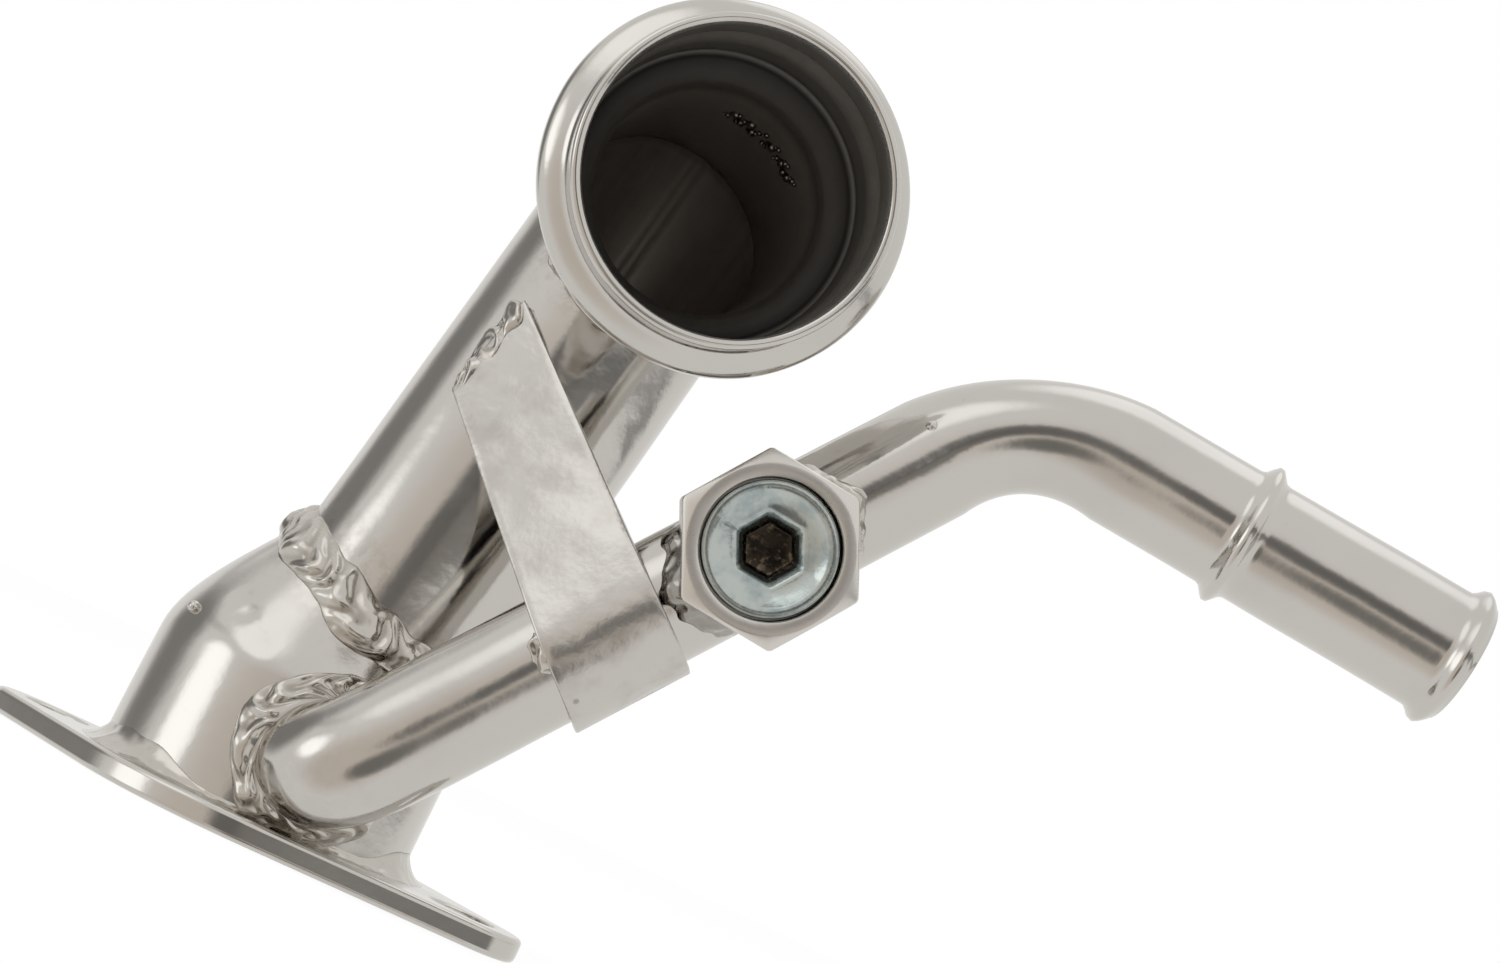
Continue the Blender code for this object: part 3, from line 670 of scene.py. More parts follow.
def sheet_steel(name, tone):
    """Strap steel with the pebbled skin of a coat over a rough surface."""
    material, bench, shader = new_finish(name, tone)
    at = bench.coords()
    pebble = bench.noise(at, 1.25 * MM, 2.0, 0.5)
    cloud = bench.noise(at, 6 * MM, 3.0, 0.6)
    pit = bench.step(bench.distance(at, (42.2 * MM, -21.0 * MM, 32.3 * MM)), 0.55 * MM, 0.2 * MM)
    worn = bench.colour(bench.step(cloud, 0.45, 0.7) * 0.3, tone, (0.40, 0.37, 0.33))
    wire_up(bench, shader, Base_Color=bench.colour(pit * 0.45, worn, (0.12, 0.10, 0.08)))
    wire_up(bench, shader, Roughness=0.17 + cloud * 0.10, Metallic=1.0)
    skin = bench.bump(pebble - pit * 0.8, 0.34, 0.13 * MM)
    wire_up(bench, shader, Normal=bench.bump(bench.noise(at, 9 * MM, 1.0, 0.5), 0.6, 1.1 * MM, skin))
    return material


def zinc_plate(name, tone):
    """Plug plated in zinc, bluish and greenish in turn, with brown grime left in its dish that gathers deep
    in its socket, and painted shade that darkens the socket's bottom.
    """
    material, bench, shader = new_finish(name, tone)
    at = bench.coords()
    cloud = bench.noise(at, 4.5 * MM, 3.0, 0.6)
    grit = bench.noise(at, 0.8 * MM, 3.0, 0.6)
    depth = bench.vector("DOT_PRODUCT", at, tuple(BUNG_AXIS), output="Value")
    level = BUNG_ORIGIN.dot(BUNG_AXIS)
    deep = bench.step(depth - level, 11.1 * MM, 10.4 * MM)
    hue = bench.colour(bench.step(cloud, 0.4, 0.65), tone, (0.36, 0.42, 0.43))
    # Painted shade: the bottom of the hex socket is coloured near black.
    hue = bench.colour(deep, hue, (0.035, 0.028, 0.022))
    # Brown grime, thin all over and heavy at the socket's bottom, where it is also painted shade.
    grime_and_socket_shade = bench.step(grit * 0.5 + cloud * 0.5, 0.50, 0.66) * (0.12 + deep * 0.75)
    wire_up(bench, shader, Base_Color=bench.colour(grime_and_socket_shade, hue, (0.20, 0.155, 0.105)))
    wire_up(bench, shader, Roughness=0.15 + grime_and_socket_shade * 0.3 + grit * 0.06, Metallic=1.0)
    wire_up(bench, shader, Normal=bench.bump(grit, 0.35, 0.10 * MM))
    return material


# Geometry node trees


def input_name(tree, label):
    """The identifier of one of a tree's named inputs."""
    for item in tree.interface.items_tree:
        if item.item_type == "SOCKET" and item.in_out == "INPUT" and item.name == label:
            return item.identifier
    raise KeyError(label)


def start_tree(name, inputs):
    tree = bpy.data.node_groups.new(name, "GeometryNodeTree")
    tree.interface.new_socket("Geometry", in_out="INPUT", socket_type="NodeSocketGeometry")
    tree.interface.new_socket("Geometry", in_out="OUTPUT", socket_type="NodeSocketGeometry")
    for label, kind, default in inputs:
        socket = tree.interface.new_socket(label, in_out="INPUT", socket_type=kind)
        if default is not None:
            socket.default_value = default
    tree.interface.new_socket("Material", in_out="INPUT", socket_type="NodeSocketMaterial")
    bench = Bench(tree)
    entry = tree.nodes.new("NodeGroupInput")
    ports = {socket.name: Wire(bench, socket) for socket in entry.outputs if socket.name}
    return tree, bench, ports


def close_tree(bench, geometry, material):
    real = bench.add("GeometryNodeRealizeInstances", None, {"Geometry": geometry})
    done = bench.add("GeometryNodeSetMaterial", None, {"Geometry": real, "Material": material})
    bench.add("NodeGroupOutput", None, {"Geometry": done})


def ripple_tree():
    """Ripples across a bead, lumps along it, and the hollows between them kept for the finish."""
    tree, bench, ports = start_tree("Weld ripples", (
        ("Ripples", "NodeSocketFloat", 20.0),
        ("Ripple height", "NodeSocketFloat", 0.3 * MM),
        ("Sweep", "NodeSocketFloat", 0.5),
        ("Lump height", "NodeSocketFloat", 0.5 * MM),
        ("Lump size", "NodeSocketFloat", 3.0 * MM),
        ("Seed", "NodeSocketFloat", 1.0),
    ))

    def named(label):
        return bench.add("GeometryNodeInputNamedAttribute", {"data_type": "FLOAT"}, {"Name": label})

    crown = named("crown")
    side = named("side")
    spot = bench.add("GeometryNodeInputPosition")
    scale = 1 / ports["Lump size"]
    sockets = {"Vector": spot, "W": ports["Seed"], "Scale": scale, "Detail": 0.6}
    lump = bench.add("ShaderNodeTexNoise", {"noise_dimensions": "4D"}, sockets)
    wander = bench.add("ShaderNodeTexNoise", {"noise_dimensions": "4D"}, {
        "Vector": spot, "W": ports["Seed"] + 7.0, "Scale": scale * 0.45, "Detail": 1.0,
    })
    phase = (named("beat") * ports["Ripples"] + side * side * ports["Sweep"] + wander * 3.0) * (2 * pi)
    wave = bench.add("ShaderNodeMath", {"operation": "COSINE"}, {0: phase})
    scallop = 0.5 - wave * 0.5
    hollow = bench.step(scallop, 0.5, 1.0) * crown * (ports["Ripple height"] / (0.5 * MM))
    push = (ports["Lump height"] * (lump - 0.5) * 2 - ports["Ripple height"] * scallop) * crown
    offset = bench.vector("SCALE", bench.add("GeometryNodeInputNormal"), scale=push)
    moved = bench.add("GeometryNodeSetPosition", None, {"Geometry": ports["Geometry"], "Offset": offset})
    sockets = {"Geometry": moved, "Name": "hollow", "Value": hollow}
    kept = bench.add("GeometryNodeStoreNamedAttribute", {"data_type": "FLOAT", "domain": "POINT"}, sockets)
    close_tree(bench, kept, ports["Material"])
    return tree


def spatter_tree():
    """One round droplet on every point, each of its own size."""
    tree, bench, ports = start_tree("Weld spatter", (
        ("Droplet", "NodeSocketFloat", 0.6 * MM),
        ("Smallest", "NodeSocketFloat", 0.7),
        ("Seed", "NodeSocketInt", 3),
    ))
    drop = bench.add("GeometryNodeMeshIcoSphere", None, {"Radius": ports["Droplet"], "Subdivisions": 3})
    size = bench.add("FunctionNodeRandomValue", {"data_type": "FLOAT"}, {"Seed": ports["Seed"]}, output=1)
    size = ports["Smallest"] + size * (1 - ports["Smallest"])
    points = bench.add("GeometryNodeMeshToPoints", None, {"Mesh": ports["Geometry"]})
    smooth = bench.add("GeometryNodeSetShadeSmooth", None, {"Geometry": drop})
    placed = bench.add("GeometryNodeInstanceOnPoints", None, {
        "Points": points, "Instance": smooth, "Scale": size,
    })
    close_tree(bench, placed, ports["Material"])
    return tree


def run_tree(piece, tree, material, **values):
    """Runs a node tree on a piece with its inputs set, and keeps the result as a plain mesh."""
    modifier = piece.modifiers.new(tree.name, "NODES")
    modifier.node_group = tree
    modifier[input_name(tree, "Material")] = material
    for label, value in values.items():
        modifier[input_name(tree, label.replace("_", " "))] = value
    bake(piece)


# Finishes, made once and shared


def finish(key):
    """One of the object's finishes, made the first time that it is asked for."""
    looks = bpy.context.scene.outlet_finish
    if key in bpy.data.materials:
        return bpy.data.materials[key]
    steel = tuple(looks.steel)
    tubes = {"pipe steel": PIPE_AXIS, "neck steel": NECK_AXIS, "heater steel": RUN_AXIS}
    if key in tubes:
        return plated_steel(key, steel, tubes[key], True)
    if key == "plate steel":
        return plated_steel(key, steel, X_AXIS, False)
    if key == "lightened bung steel":
        # Painted light: the bung takes a lighter copy of the steel, so that its top ring stays bright.
        return plated_steel(key, tuple(min(1.0, c * 1.18) for c in steel), BUNG_AXIS, False, 0.16)
    if key == "weld bead":
        return weld_metal(key, tuple(looks.weld), 1.0)
    # A darker copy of the weld finish, for the lower bung weld and the drips down in the neck.
    if key == "darker bead":
        return weld_metal(key, tuple(c * 0.62 for c in looks.weld), 1.25)
    if key == "strap steel":
        return sheet_steel(key, tuple(looks.strap))
    return zinc_plate(key, tuple(looks.zinc))


def weld_piece(name, stations, closed, node, key="weld bead", **values):
    """A weld bead from its stations, rippled by the node tree, in the place of the frame's own bead."""
    sizes = bpy.context.scene.outlet_beads
    rows, beat, side, crown, length = weld_rows(stations, closed)
    piece = add_skin(name, rows, wrap=closed, cap=not closed, beat=beat, side=side, crown=crown)
    tree = bpy.data.node_groups.get("Weld ripples") or ripple_tree()
    values.setdefault("Ripples", float(max(2, round(length / sizes.ripple_pitch))))
    values.setdefault("Ripple_height", sizes.ripple_height)
    values.setdefault("Lump_height", sizes.lump_height)
    run_tree(piece, tree, finish(key), **values)
    dress(piece, finish(key), "weld_metal", node)


def uneven(point, seed, size, amount):
    """A factor about 1 that drifts slowly from place to place."""
    return 1 + amount * noise.noise(point / size + Vector((seed, seed * 1.7, -seed)))


# Operators


class OUTLET_OT_flange(bpy.types.Operator):
    """Makes the flange plate with softly worn edges"""

    bl_idname = "outlet.flange"
    bl_label = "Flange plate"

    def execute(self, context):
        half = BOLT_SPACING / 2
        edge_angle = acos((LAND_R - LUG_R) / half)
        arcs = (
            (half, LUG_R, -edge_angle, edge_angle),
            (0.0, LAND_R, edge_angle, pi - edge_angle),
            (-half, LUG_R, pi - edge_angle, pi + edge_angle),
            (0.0, LAND_R, pi + edge_angle, 2 * pi - edge_angle),
        )
        outline = [
            (middle + radius * cos(angle), radius * sin(angle))
            for middle, radius, start, end in arcs
            for angle in spread(start, end, 28)
        ]
        loops = [[Vector((x, y, z)) for x, y in outline] for z in (0.0, PLATE_T)]
        plate = add_skin("flange_plate_worn", loops, wrap=False, cap=True)
        low, high = -Z_AXIS * PLATE_T, Z_AXIS * PLATE_T * 2
        carve(plate, low, high, BASE_R + 0.05 * MM, 96)
        for x in (-half, half):
            carve(plate, X_AXIS * x + low, X_AXIS * x + high, BOLT_HOLE_R, 56)
        round_edges(plate, "Worn edges", context.scene.outlet_sizes.edge_wear, 4, harden=True)
        dress(plate, finish("plate steel"), "polished_steel", "flange_plate")
        return {"FINISHED"}


class OUTLET_OT_lower_elbow(bpy.types.Operator):
    """Makes the wide tube end that leans over to the main pipe"""

    bl_idname = "outlet.lower_elbow"
    bl_label = "Lower elbow"

    def execute(self, context):
        count = 144
        walls = []
        for base, joint_r in ((BASE_R, PIPE_R), (BASE_R - BASE_WALL, PIPE_R - PIPE_WALL)):
            top, joint = elbow_ends(base, joint_r, count)
            foot = circle(Z_AXIS * BASE_FOOT, Z_AXIS, X_AXIS, base, count)
            loops = tube_between(foot, top, 14)[:-1]
            for place in spread(0.0, 1.0, 18):
                loops.append([elbow_line(a, b, place) for a, b in zip(top, joint)])
            walls.append(loops)
        crease = [Vector(p) * MM for p in ((-5.9, -18.2, 27.5), (-3.4, -19.6, 25.6), (1.5, -20.9, 22.6))]
        dents = [(a, b, 1.7 * MM, 0.34 * MM) for a, b in zip(crease, crease[1:])]
        sag = JOINT.z * 0.055

        def middle_of(point):
            """The wall's middle, which leans out and sinks a little towards the joint."""
            lift = ease(point.z, BASE_STRAIGHT_TOP * 0.6, JOINT.z + 8 * MM)
            return Vector((JOINT.x * lift, 0, point.z - sag * lift))

        elbow = wall_piece("lower_elbow_shell", walls[0], walls[1], middle_of, dents=dents)
        start = ROOT - ROOT_AXIS * BASE_WALL * 3
        end = ROOT + ROOT_AXIS * (BASE_R - ROOT_REACH + HEATER_WALL * 2)
        carve(elbow, start, end, HEATER_R - HEATER_WALL)
        dress(elbow, finish("pipe steel"), "polished_steel", "lower_elbow")
        return {"FINISHED"}


class OUTLET_OT_main_pipe(bpy.types.Operator):
    """Makes the main pipe, with the raised seam along its bore"""

    bl_idname = "outlet.main_pipe"
    bl_label = "Main pipe"

    def execute(self, context):
        count = 144
        far = -(NECK_AXIS - PIPE_AXIS * NECK_AXIS.dot(PIPE_AXIS)).normalized()

        def middle_of(point):
            return JOINT + PIPE_AXIS * (point - JOINT).dot(PIPE_AXIS)

        walls = []
        for radius in (PIPE_R, PIPE_R - PIPE_WALL):
            low = slanted_circle(JOINT, PIPE_AXIS, X_AXIS, radius, JOINT_NORMAL, count)
            high = slanted_circle(NECK_CORNER, PIPE_AXIS, X_AXIS, radius, NECK_MITRE, count)
            walls.append(tube_between(low, high, 56))
        seam = []
        seam_reach = 0.09
        seam_height = 0.5 * MM
        for loop in walls[1]:
            row = []
            for point in loop:
                out = (point - middle_of(point)).normalized()
                near = max(0.0, 1 - (out - far).length / seam_reach)
                row.append(point - out * near * seam_height)
            seam.append(row)
        pipe = wall_piece("main_pipe_shell", walls[0], seam, middle_of)
        dress(pipe, finish("pipe steel"), "polished_steel", "main_pipe")
        return {"FINISHED"}


class OUTLET_OT_radiator_neck(bpy.types.Operator):
    """Makes the hose neck with its rolled bead, rounded rim and stepped bore"""

    bl_idname = "outlet.radiator_neck"
    bl_label = "Radiator neck"

    def execute(self, context):
        count = 160
        sizes = context.scene.outlet_sizes
        lip = NECK_WALL / 2
        profile = []
        clear = PIPE_R * tan(NECK_AXIS.angle(NECK_MITRE)) + 1 * MM
        for back in spread(NECK_REACH - clear, lip, 120):
            swell = 1 - ease(back, NECK_SEAT_LENGTH, NECK_SEAT_LENGTH + NECK_TAPER)
            offset = min(1.0, abs(back - NECK_BEAD_AT) / (sizes.neck_bead_width / 2))
            bead = sizes.neck_bead_height * (1 - offset**2.6) ** 1.3
            profile.append((back, PIPE_R + (NECK_R - PIPE_R) * swell + bead))
        for turn in spread(0.0, pi, 8)[1:-1]:
            profile.append((lip - lip * sin(turn), NECK_R - lip + lip * cos(turn)))
        inner = []
        for back in spread(lip, NECK_REACH - clear, 56):
            swell = 1 - ease(back, NECK_SEAT_LENGTH, NECK_SEAT_LENGTH + 3.2 * MM)
            groove = 0.5 * bulge(back, NECK_BEAD_AT + 0.4 * MM, sizes.neck_bead_width, sizes.neck_bead_height)
            throat = PIPE_R - PIPE_WALL - 0.35 * MM
            inner.append((back, throat + (NECK_R - NECK_WALL - throat) * swell + groove))
        rows = [slanted_circle(NECK_CORNER, NECK_AXIS, Z_AXIS, PIPE_R, NECK_MITRE, count)]
        low = circle(MOUTH - NECK_AXIS * profile[0][0], NECK_AXIS, Z_AXIS, PIPE_R, count)
        rows += tube_between(rows[0], low, 14)[1:-1]
        inside = [0.0] * len(rows)
        for at, (back, radius) in enumerate(profile + inner):
            rows.append(circle(MOUTH - NECK_AXIS * back, NECK_AXIS, Z_AXIS, radius, count))
            inside.append(ease(at, len(profile) - 3, len(profile) + 2))
        throat_end = slanted_circle(NECK_CORNER, NECK_AXIS, Z_AXIS, PIPE_R - PIPE_WALL, NECK_MITRE, count)
        rows += tube_between(rows[-1], throat_end, 8)[1:]
        inside += [1.0] * 8
        shaped = []
        for row, share in zip(rows, inside):
            moved = []
            for point in row:
                middle = MOUTH + NECK_AXIS * (point - MOUTH).dot(NECK_AXIS)
                moved.append(wavy(point, (point - middle).normalized(), 0.10 * MM * (1 - share), 14 * MM))
            shaped.append(moved)
        neck = add_skin("radiator_neck_shell", shaped, inside=inside)
        dress(neck, finish("neck steel"), "polished_steel", "radiator_neck")
        return {"FINISHED"}


class OUTLET_OT_heater_tube(bpy.types.Operator):
    """Makes the bent heater tube with its two barb beads and rounded end"""

    bl_idname = "outlet.heater_tube"
    bl_label = "Heater tube"

    def execute(self, context):
        count = 96
        step = 2 * pi / count
        sizes = context.scene.outlet_sizes
        turn = RUN_AXIS.angle(BARB_AXIS)
        inward = across(RUN_AXIS, BARB_AXIS)[0]
        bend_start = CORNER - RUN_AXIS * HEATER_BEND_R * tan(turn / 2)
        pivot = bend_start + inward * HEATER_BEND_R
        run_from = (bend_start - RUN_START).length
        stations = [(RUN_START + RUN_AXIS * at, RUN_AXIS, 0.0, 0.0) for at in spread(0.0, run_from, 40)[1:-1]]
        for angle in spread(0.0, turn, 26):
            axis = RUN_AXIS * cos(angle) + inward * sin(angle)
            centre = pivot + (RUN_AXIS * sin(angle) - inward * cos(angle)) * HEATER_BEND_R
            stations.append((centre, axis, 0.0, BEND_SQUASH * sin(pi * angle / turn)))
        lip = HEATER_WALL / 2
        barb_from = HEATER_BEND_R * tan(turn / 2)
        for at in spread(barb_from, BARB_LENGTH - lip, 84)[1:]:
            swell = bulge(at, STOP_BEAD_AT, BARB_BEAD_W, sizes.stop_bead_height)
            swell += bulge(at, BARB_LENGTH - BARB_BEAD_W / 2, BARB_BEAD_W, sizes.end_bead_height)
            stations.append((CORNER + BARB_AXIS * at, BARB_AXIS, swell, 0.0))
        tip = CORNER + BARB_AXIS * (BARB_LENGTH - lip)
        rows = []
        backs = []
        for wall in (0.0, HEATER_WALL):
            radius = HEATER_R - wall
            starts = [root_crossing(i * step, radius, BASE_R - SINK) for i in range(count)]
            loops = []
            for share in spread(0.0, 1.0, 26):
                places = [start + (1 - start) * share for start in starts]
                loops.append([root_point(place, i * step, radius) for i, place in enumerate(places)])
            hint = FRONT
            for centre, axis, swell, squash in stations:
                hint, side = across(axis, hint)
                ring = []
                for i in range(count):
                    spoke = hint * cos(i * step) + side * (sin(i * step) * (1 - squash))
                    point = centre + spoke * (radius + swell)
                    ring.append(wavy(point, spoke, 0.07 * MM, 13 * MM) if wall == 0 else point)
                loops.append(ring)
            if wall == 0:
                for angle in spread(0.0, pi, 8)[1:-1]:
                    ring_r = HEATER_R - lip + lip * cos(angle)
                    centre = tip + BARB_AXIS * lip * sin(angle)
                    loops.append(circle(centre, BARB_AXIS, hint, ring_r, count))
                rows += loops
                backs += [0.0] * (len(loops) - 3) + [0.3, 0.6, 0.9]
            else:
                rows += loops[::-1]
                backs += [1.0] * len(loops)
        tube = add_skin("heater_tube_shell", rows, inside=backs)
        dress(tube, finish("heater steel"), "polished_steel", "heater_tube")
        return {"FINISHED"}


class OUTLET_OT_pipe_welds(bpy.types.Operator):
    """Lays the ropy beads round the flange, the elbow, the neck and the heater tube's root"""

    bl_idname = "outlet.pipe_welds"
    bl_label = "Pipe welds"

    def execute(self, context):
        sizes = context.scene.outlet_beads
        count = 420
        top, joint = elbow_ends(BASE_R, PIPE_R, count)
        stations = []
        for low, high in zip(top, joint):
            reach = (high - low).length
            down = sizes.joint_width * 0.72 * uneven(high, 1.0, 6 * MM, 0.3)
            up = sizes.joint_width * 0.28 * uneven(high, 4.0, 4 * MM, 0.5)
            out = high - JOINT
            out = (out - PIPE_AXIS * out.dot(PIPE_AXIS)).normalized()
            first = elbow_line(low, high, 1 - down / (ELBOW_ARRIVE * reach)) - out * TOE_SINK
            second = high + PIPE_AXIS * up - out * TOE_SINK
            stations.append((first, high, second, out, sizes.joint_height))
        weld_piece("elbow_weld_bead", stations, True, "elbow_weld", Lump_size=3.4 * MM, Sweep=0.9,
                   Lump_height=1.0 * MM, Seed=2.0)

        stations = []
        for i in range(count):
            angle = 2 * pi * i / count
            out = X_AXIS * cos(angle) + Y_AXIS * sin(angle)
            apart = abs((angle + pi / 2 - ROOT_HEADING + pi) % (2 * pi) - pi)
            leg = sizes.fillet_leg * (0.3 + 0.7 * ease(apart, radians(30), radians(55)))
            corner = out * BASE_R + Z_AXIS * PLATE_T
            foot = corner + out * leg * uneven(corner, 2.0, 6 * MM, 0.25) - Z_AXIS * 0.05 * MM
            head = corner + Z_AXIS * leg * uneven(corner, 6.0, 6 * MM, 0.25) - out * 0.05 * MM
            stations.append((foot, corner, head, (out + Z_AXIS).normalized(), leg * -0.17))
        weld_piece("flange_weld_bead", stations, True, "flange_weld", Ripple_height=0.03 * MM,
                   Lump_height=0.22 * MM, Lump_size=2.4 * MM, Seed=5.0)

        stations = []
        for ridge in slanted_circle(NECK_CORNER, PIPE_AXIS, X_AXIS, PIPE_R, NECK_MITRE, count):
            arm = ridge - NECK_CORNER
            pipe_out = (arm - PIPE_AXIS * arm.dot(PIPE_AXIS)).normalized()
            neck_out = (arm - NECK_AXIS * arm.dot(NECK_AXIS)).normalized()
            half = sizes.neck_width / 2
            first = ridge - PIPE_AXIS * half * uneven(ridge, 3.0, 4 * MM, 0.5) - pipe_out * TOE_SINK
            second = ridge + NECK_AXIS * half * uneven(ridge, 8.0, 4 * MM, 0.5) - neck_out * TOE_SINK
            stations.append((first, ridge, second, (pipe_out + neck_out).normalized(), sizes.neck_height))
        weld_piece("neck_weld_bead", stations, True, "neck_weld", Seed=9.0)

        stations = []
        spots = 260
        for i in range(spots):
            angle = 2 * pi * i / spots
            place = root_crossing(angle, HEATER_R, BASE_R)
            touch = root_point(place, angle, HEATER_R)
            centre = root_line(place)[0]
            pipe_out = (touch - centre).normalized()
            base_out = Vector((touch.x, touch.y, 0)).normalized()
            half = sizes.root_width / 2 * uneven(touch, 5.0, 4 * MM, 0.5)
            slide = pipe_out - base_out * pipe_out.dot(base_out)
            slide = slide.normalized() if slide.length > 0.05 else Z_AXIS
            first = touch + slide * half
            flat = Vector((first.x, first.y, 0)).normalized() * (BASE_R - 0.1 * MM)
            first = Vector((flat.x, flat.y, max(first.z, PLATE_T + 0.2 * MM)))
            second = root_point(place + half / (38 * MM), angle, HEATER_R - 0.1 * MM)
            second.z = max(second.z, PLATE_T + 0.2 * MM)
            out = (pipe_out + base_out * 1.05).normalized()
            meet = max(0.0, pipe_out.dot(base_out))
            stations.append((first, touch, second, out, sizes.root_height * (0.35 + 0.65 * meet)))
        weld_piece("heater_root_weld_bead", stations, True, "heater_root_weld", Lump_size=3.0 * MM, Sweep=0.9,
                   Lump_height=0.9 * MM, Seed=12.0)
        return {"FINISHED"}


class OUTLET_OT_bung(bpy.types.Operator):
    """Makes the hex bung, its welds to the tube, and the plug that closes it"""

    bl_idname = "outlet.bung"
    bl_label = "Hex bung and plug"

    def execute(self, context):
        count = 288
        sizes = context.scene.outlet_sizes

        def flats(angle):
            return hexagon_reach(angle, BUNG_AF, 0.14 * MM)

        def saddle(angle, lateral):
            return sqrt(max((HEATER_R - SINK) ** 2 - lateral * lateral, BUNG_FOOT * BUNG_FOOT))

        def level(height):
            return lambda angle, lateral: height

        def size(value):
            return lambda angle: value

        ring_r = BUNG_AF / 2 - BUNG_CHAMFER
        slope = tan(radians(26)) * 0.8

        def shoulder(drop):
            return lambda angle, lateral: BUNG_TOP - (flats(angle) - ring_r) * slope - drop

        def nearly_round(angle):
            return ring_r + (flats(angle) - ring_r) * 0.1

        foot = bung_loop(flats, saddle, count)
        brow = bung_loop(flats, shoulder(0.3 * MM), count)
        loops = [foot]
        for share in (0.25, 0.5, 0.75):
            loops.append([a.lerp(b, share) for a, b in zip(foot, brow)])
        loops.append(brow)
        loops.append(bung_loop(lambda a: flats(a) - 0.06 * MM, shoulder(0.1 * MM), count))
        loops.append(bung_loop(lambda a: flats(a) - 0.22 * MM, shoulder(0.0), count))
        loops.append(bung_loop(nearly_round, level(BUNG_TOP - 0.04 * MM), count))
        for radius, height in (
            (ring_r - 0.15 * MM, BUNG_TOP),
            (BUNG_BORE_R + 0.45 * MM, BUNG_TOP),
            (BUNG_BORE_R + 0.12 * MM, BUNG_TOP - 0.08 * MM),
            (BUNG_BORE_R, BUNG_TOP - 0.35 * MM),
            (BUNG_BORE_R, BUNG_FLOOR),
            (PORT_R, BUNG_FLOOR),
        ):
            loops.append(bung_loop(size(radius), level(height), count))
        loops.append(bung_loop(size(PORT_R), saddle, count))
        bung = add_skin("sensor_bung_hex", loops)
        bung.data.set_sharp_from_angle(angle=SHARP)
        dress(bung, finish("lightened bung steel"), "polished_steel", "sensor_bung")

        around = 192
        radius = BUNG_BORE_R - PLUG_GAP
        top = BUNG_TOP - PLUG_RECESS
        dish = top - sizes.plug_dish

        def socket(angle):
            return hexagon_reach(angle, SOCKET_AF, 0.12 * MM)

        loops = [bung_loop(size(radius), level(BUNG_FLOOR + PLUG_GAP), around)]
        for inset, drop in ((0, 0.4), (0.1, 0.12), (0.35, 0), (1.1, 0), (1.4, 0.25)):
            loops.append(bung_loop(size(radius - inset * MM), level(top - drop * MM), around))
        for share in (0.15, 0.35, 0.6, 0.85, 0.97):
            drop = sin(share * pi / 2)
            loops.append(bung_loop(
                lambda a, s=share: (radius - 1.4 * MM) * (1 - s) + (socket(a) + 0.25 * MM) * s,
                level(top - 0.25 * MM - (top - 0.25 * MM - dish) * drop), around,
            ))
        for share, drop in ((1, 0.25), (0.84, 0.9), (0.70, 2.0), (0.64, 2.1)):
            loops.append(bung_loop(lambda a, s=share: socket(a) * s, level(dish - drop * MM), around))
        for reach, drop in ((1.9, 2.1), (0.3, 2.35)):
            loops.append(bung_loop(size(reach * MM), level(dish - drop * MM), around))
        plug = add_skin("bung_plug_dished", loops, wrap=False, cap=True)
        plug.data.set_sharp_from_angle(angle=SHARP)
        dress(plug, finish("plug zinc"), "zinc_plate", "bung_plug")

        side = BUNG_AXIS.cross(RUN_AXIS)
        end = radians(84)
        for name, way, key, size_of in (("lower", -1, "darker bead", 1.5), ("upper", 1, "weld bead", 1.15)):
            stations = []
            for angle in spread(-end, end, 90):
                out = BUNG_AXIS * cos(angle) + side * sin(angle)
                lateral = abs(HEATER_R * sin(angle))
                reach = (BUNG_AF - lateral) / sqrt(3)
                corner = BUNG_ORIGIN + out * HEATER_R + RUN_AXIS * way * reach
                fade = ease(end - abs(angle), 0.0, radians(14)) * 0.85 + 0.15
                width = 1.5 * MM * size_of * fade * uneven(corner, 3.0, 2.5 * MM, 0.5)
                lean = 0.5 if angle > 0 else -0.5
                wall_out = (RUN_AXIS * way * cos(radians(30)) + side * lean).normalized()
                foot = corner + RUN_AXIS * way * width - out * 0.1 * MM
                head = corner + BUNG_AXIS * width * 0.8 - wall_out * 0.1 * MM
                out = (BUNG_AXIS * 0.7 + wall_out).normalized()
                stations.append((foot, corner, head, out, 0.18 * MM * fade))
            weld_piece("bung_weld_%s_bead" % name, stations, False, "bung_weld_%s" % name, key,
                       Lump_height=0.3 * MM, Ripple_height=0.15 * MM, Lump_size=1.8 * MM, Seed=21.0 + way)
        return {"FINISHED"}


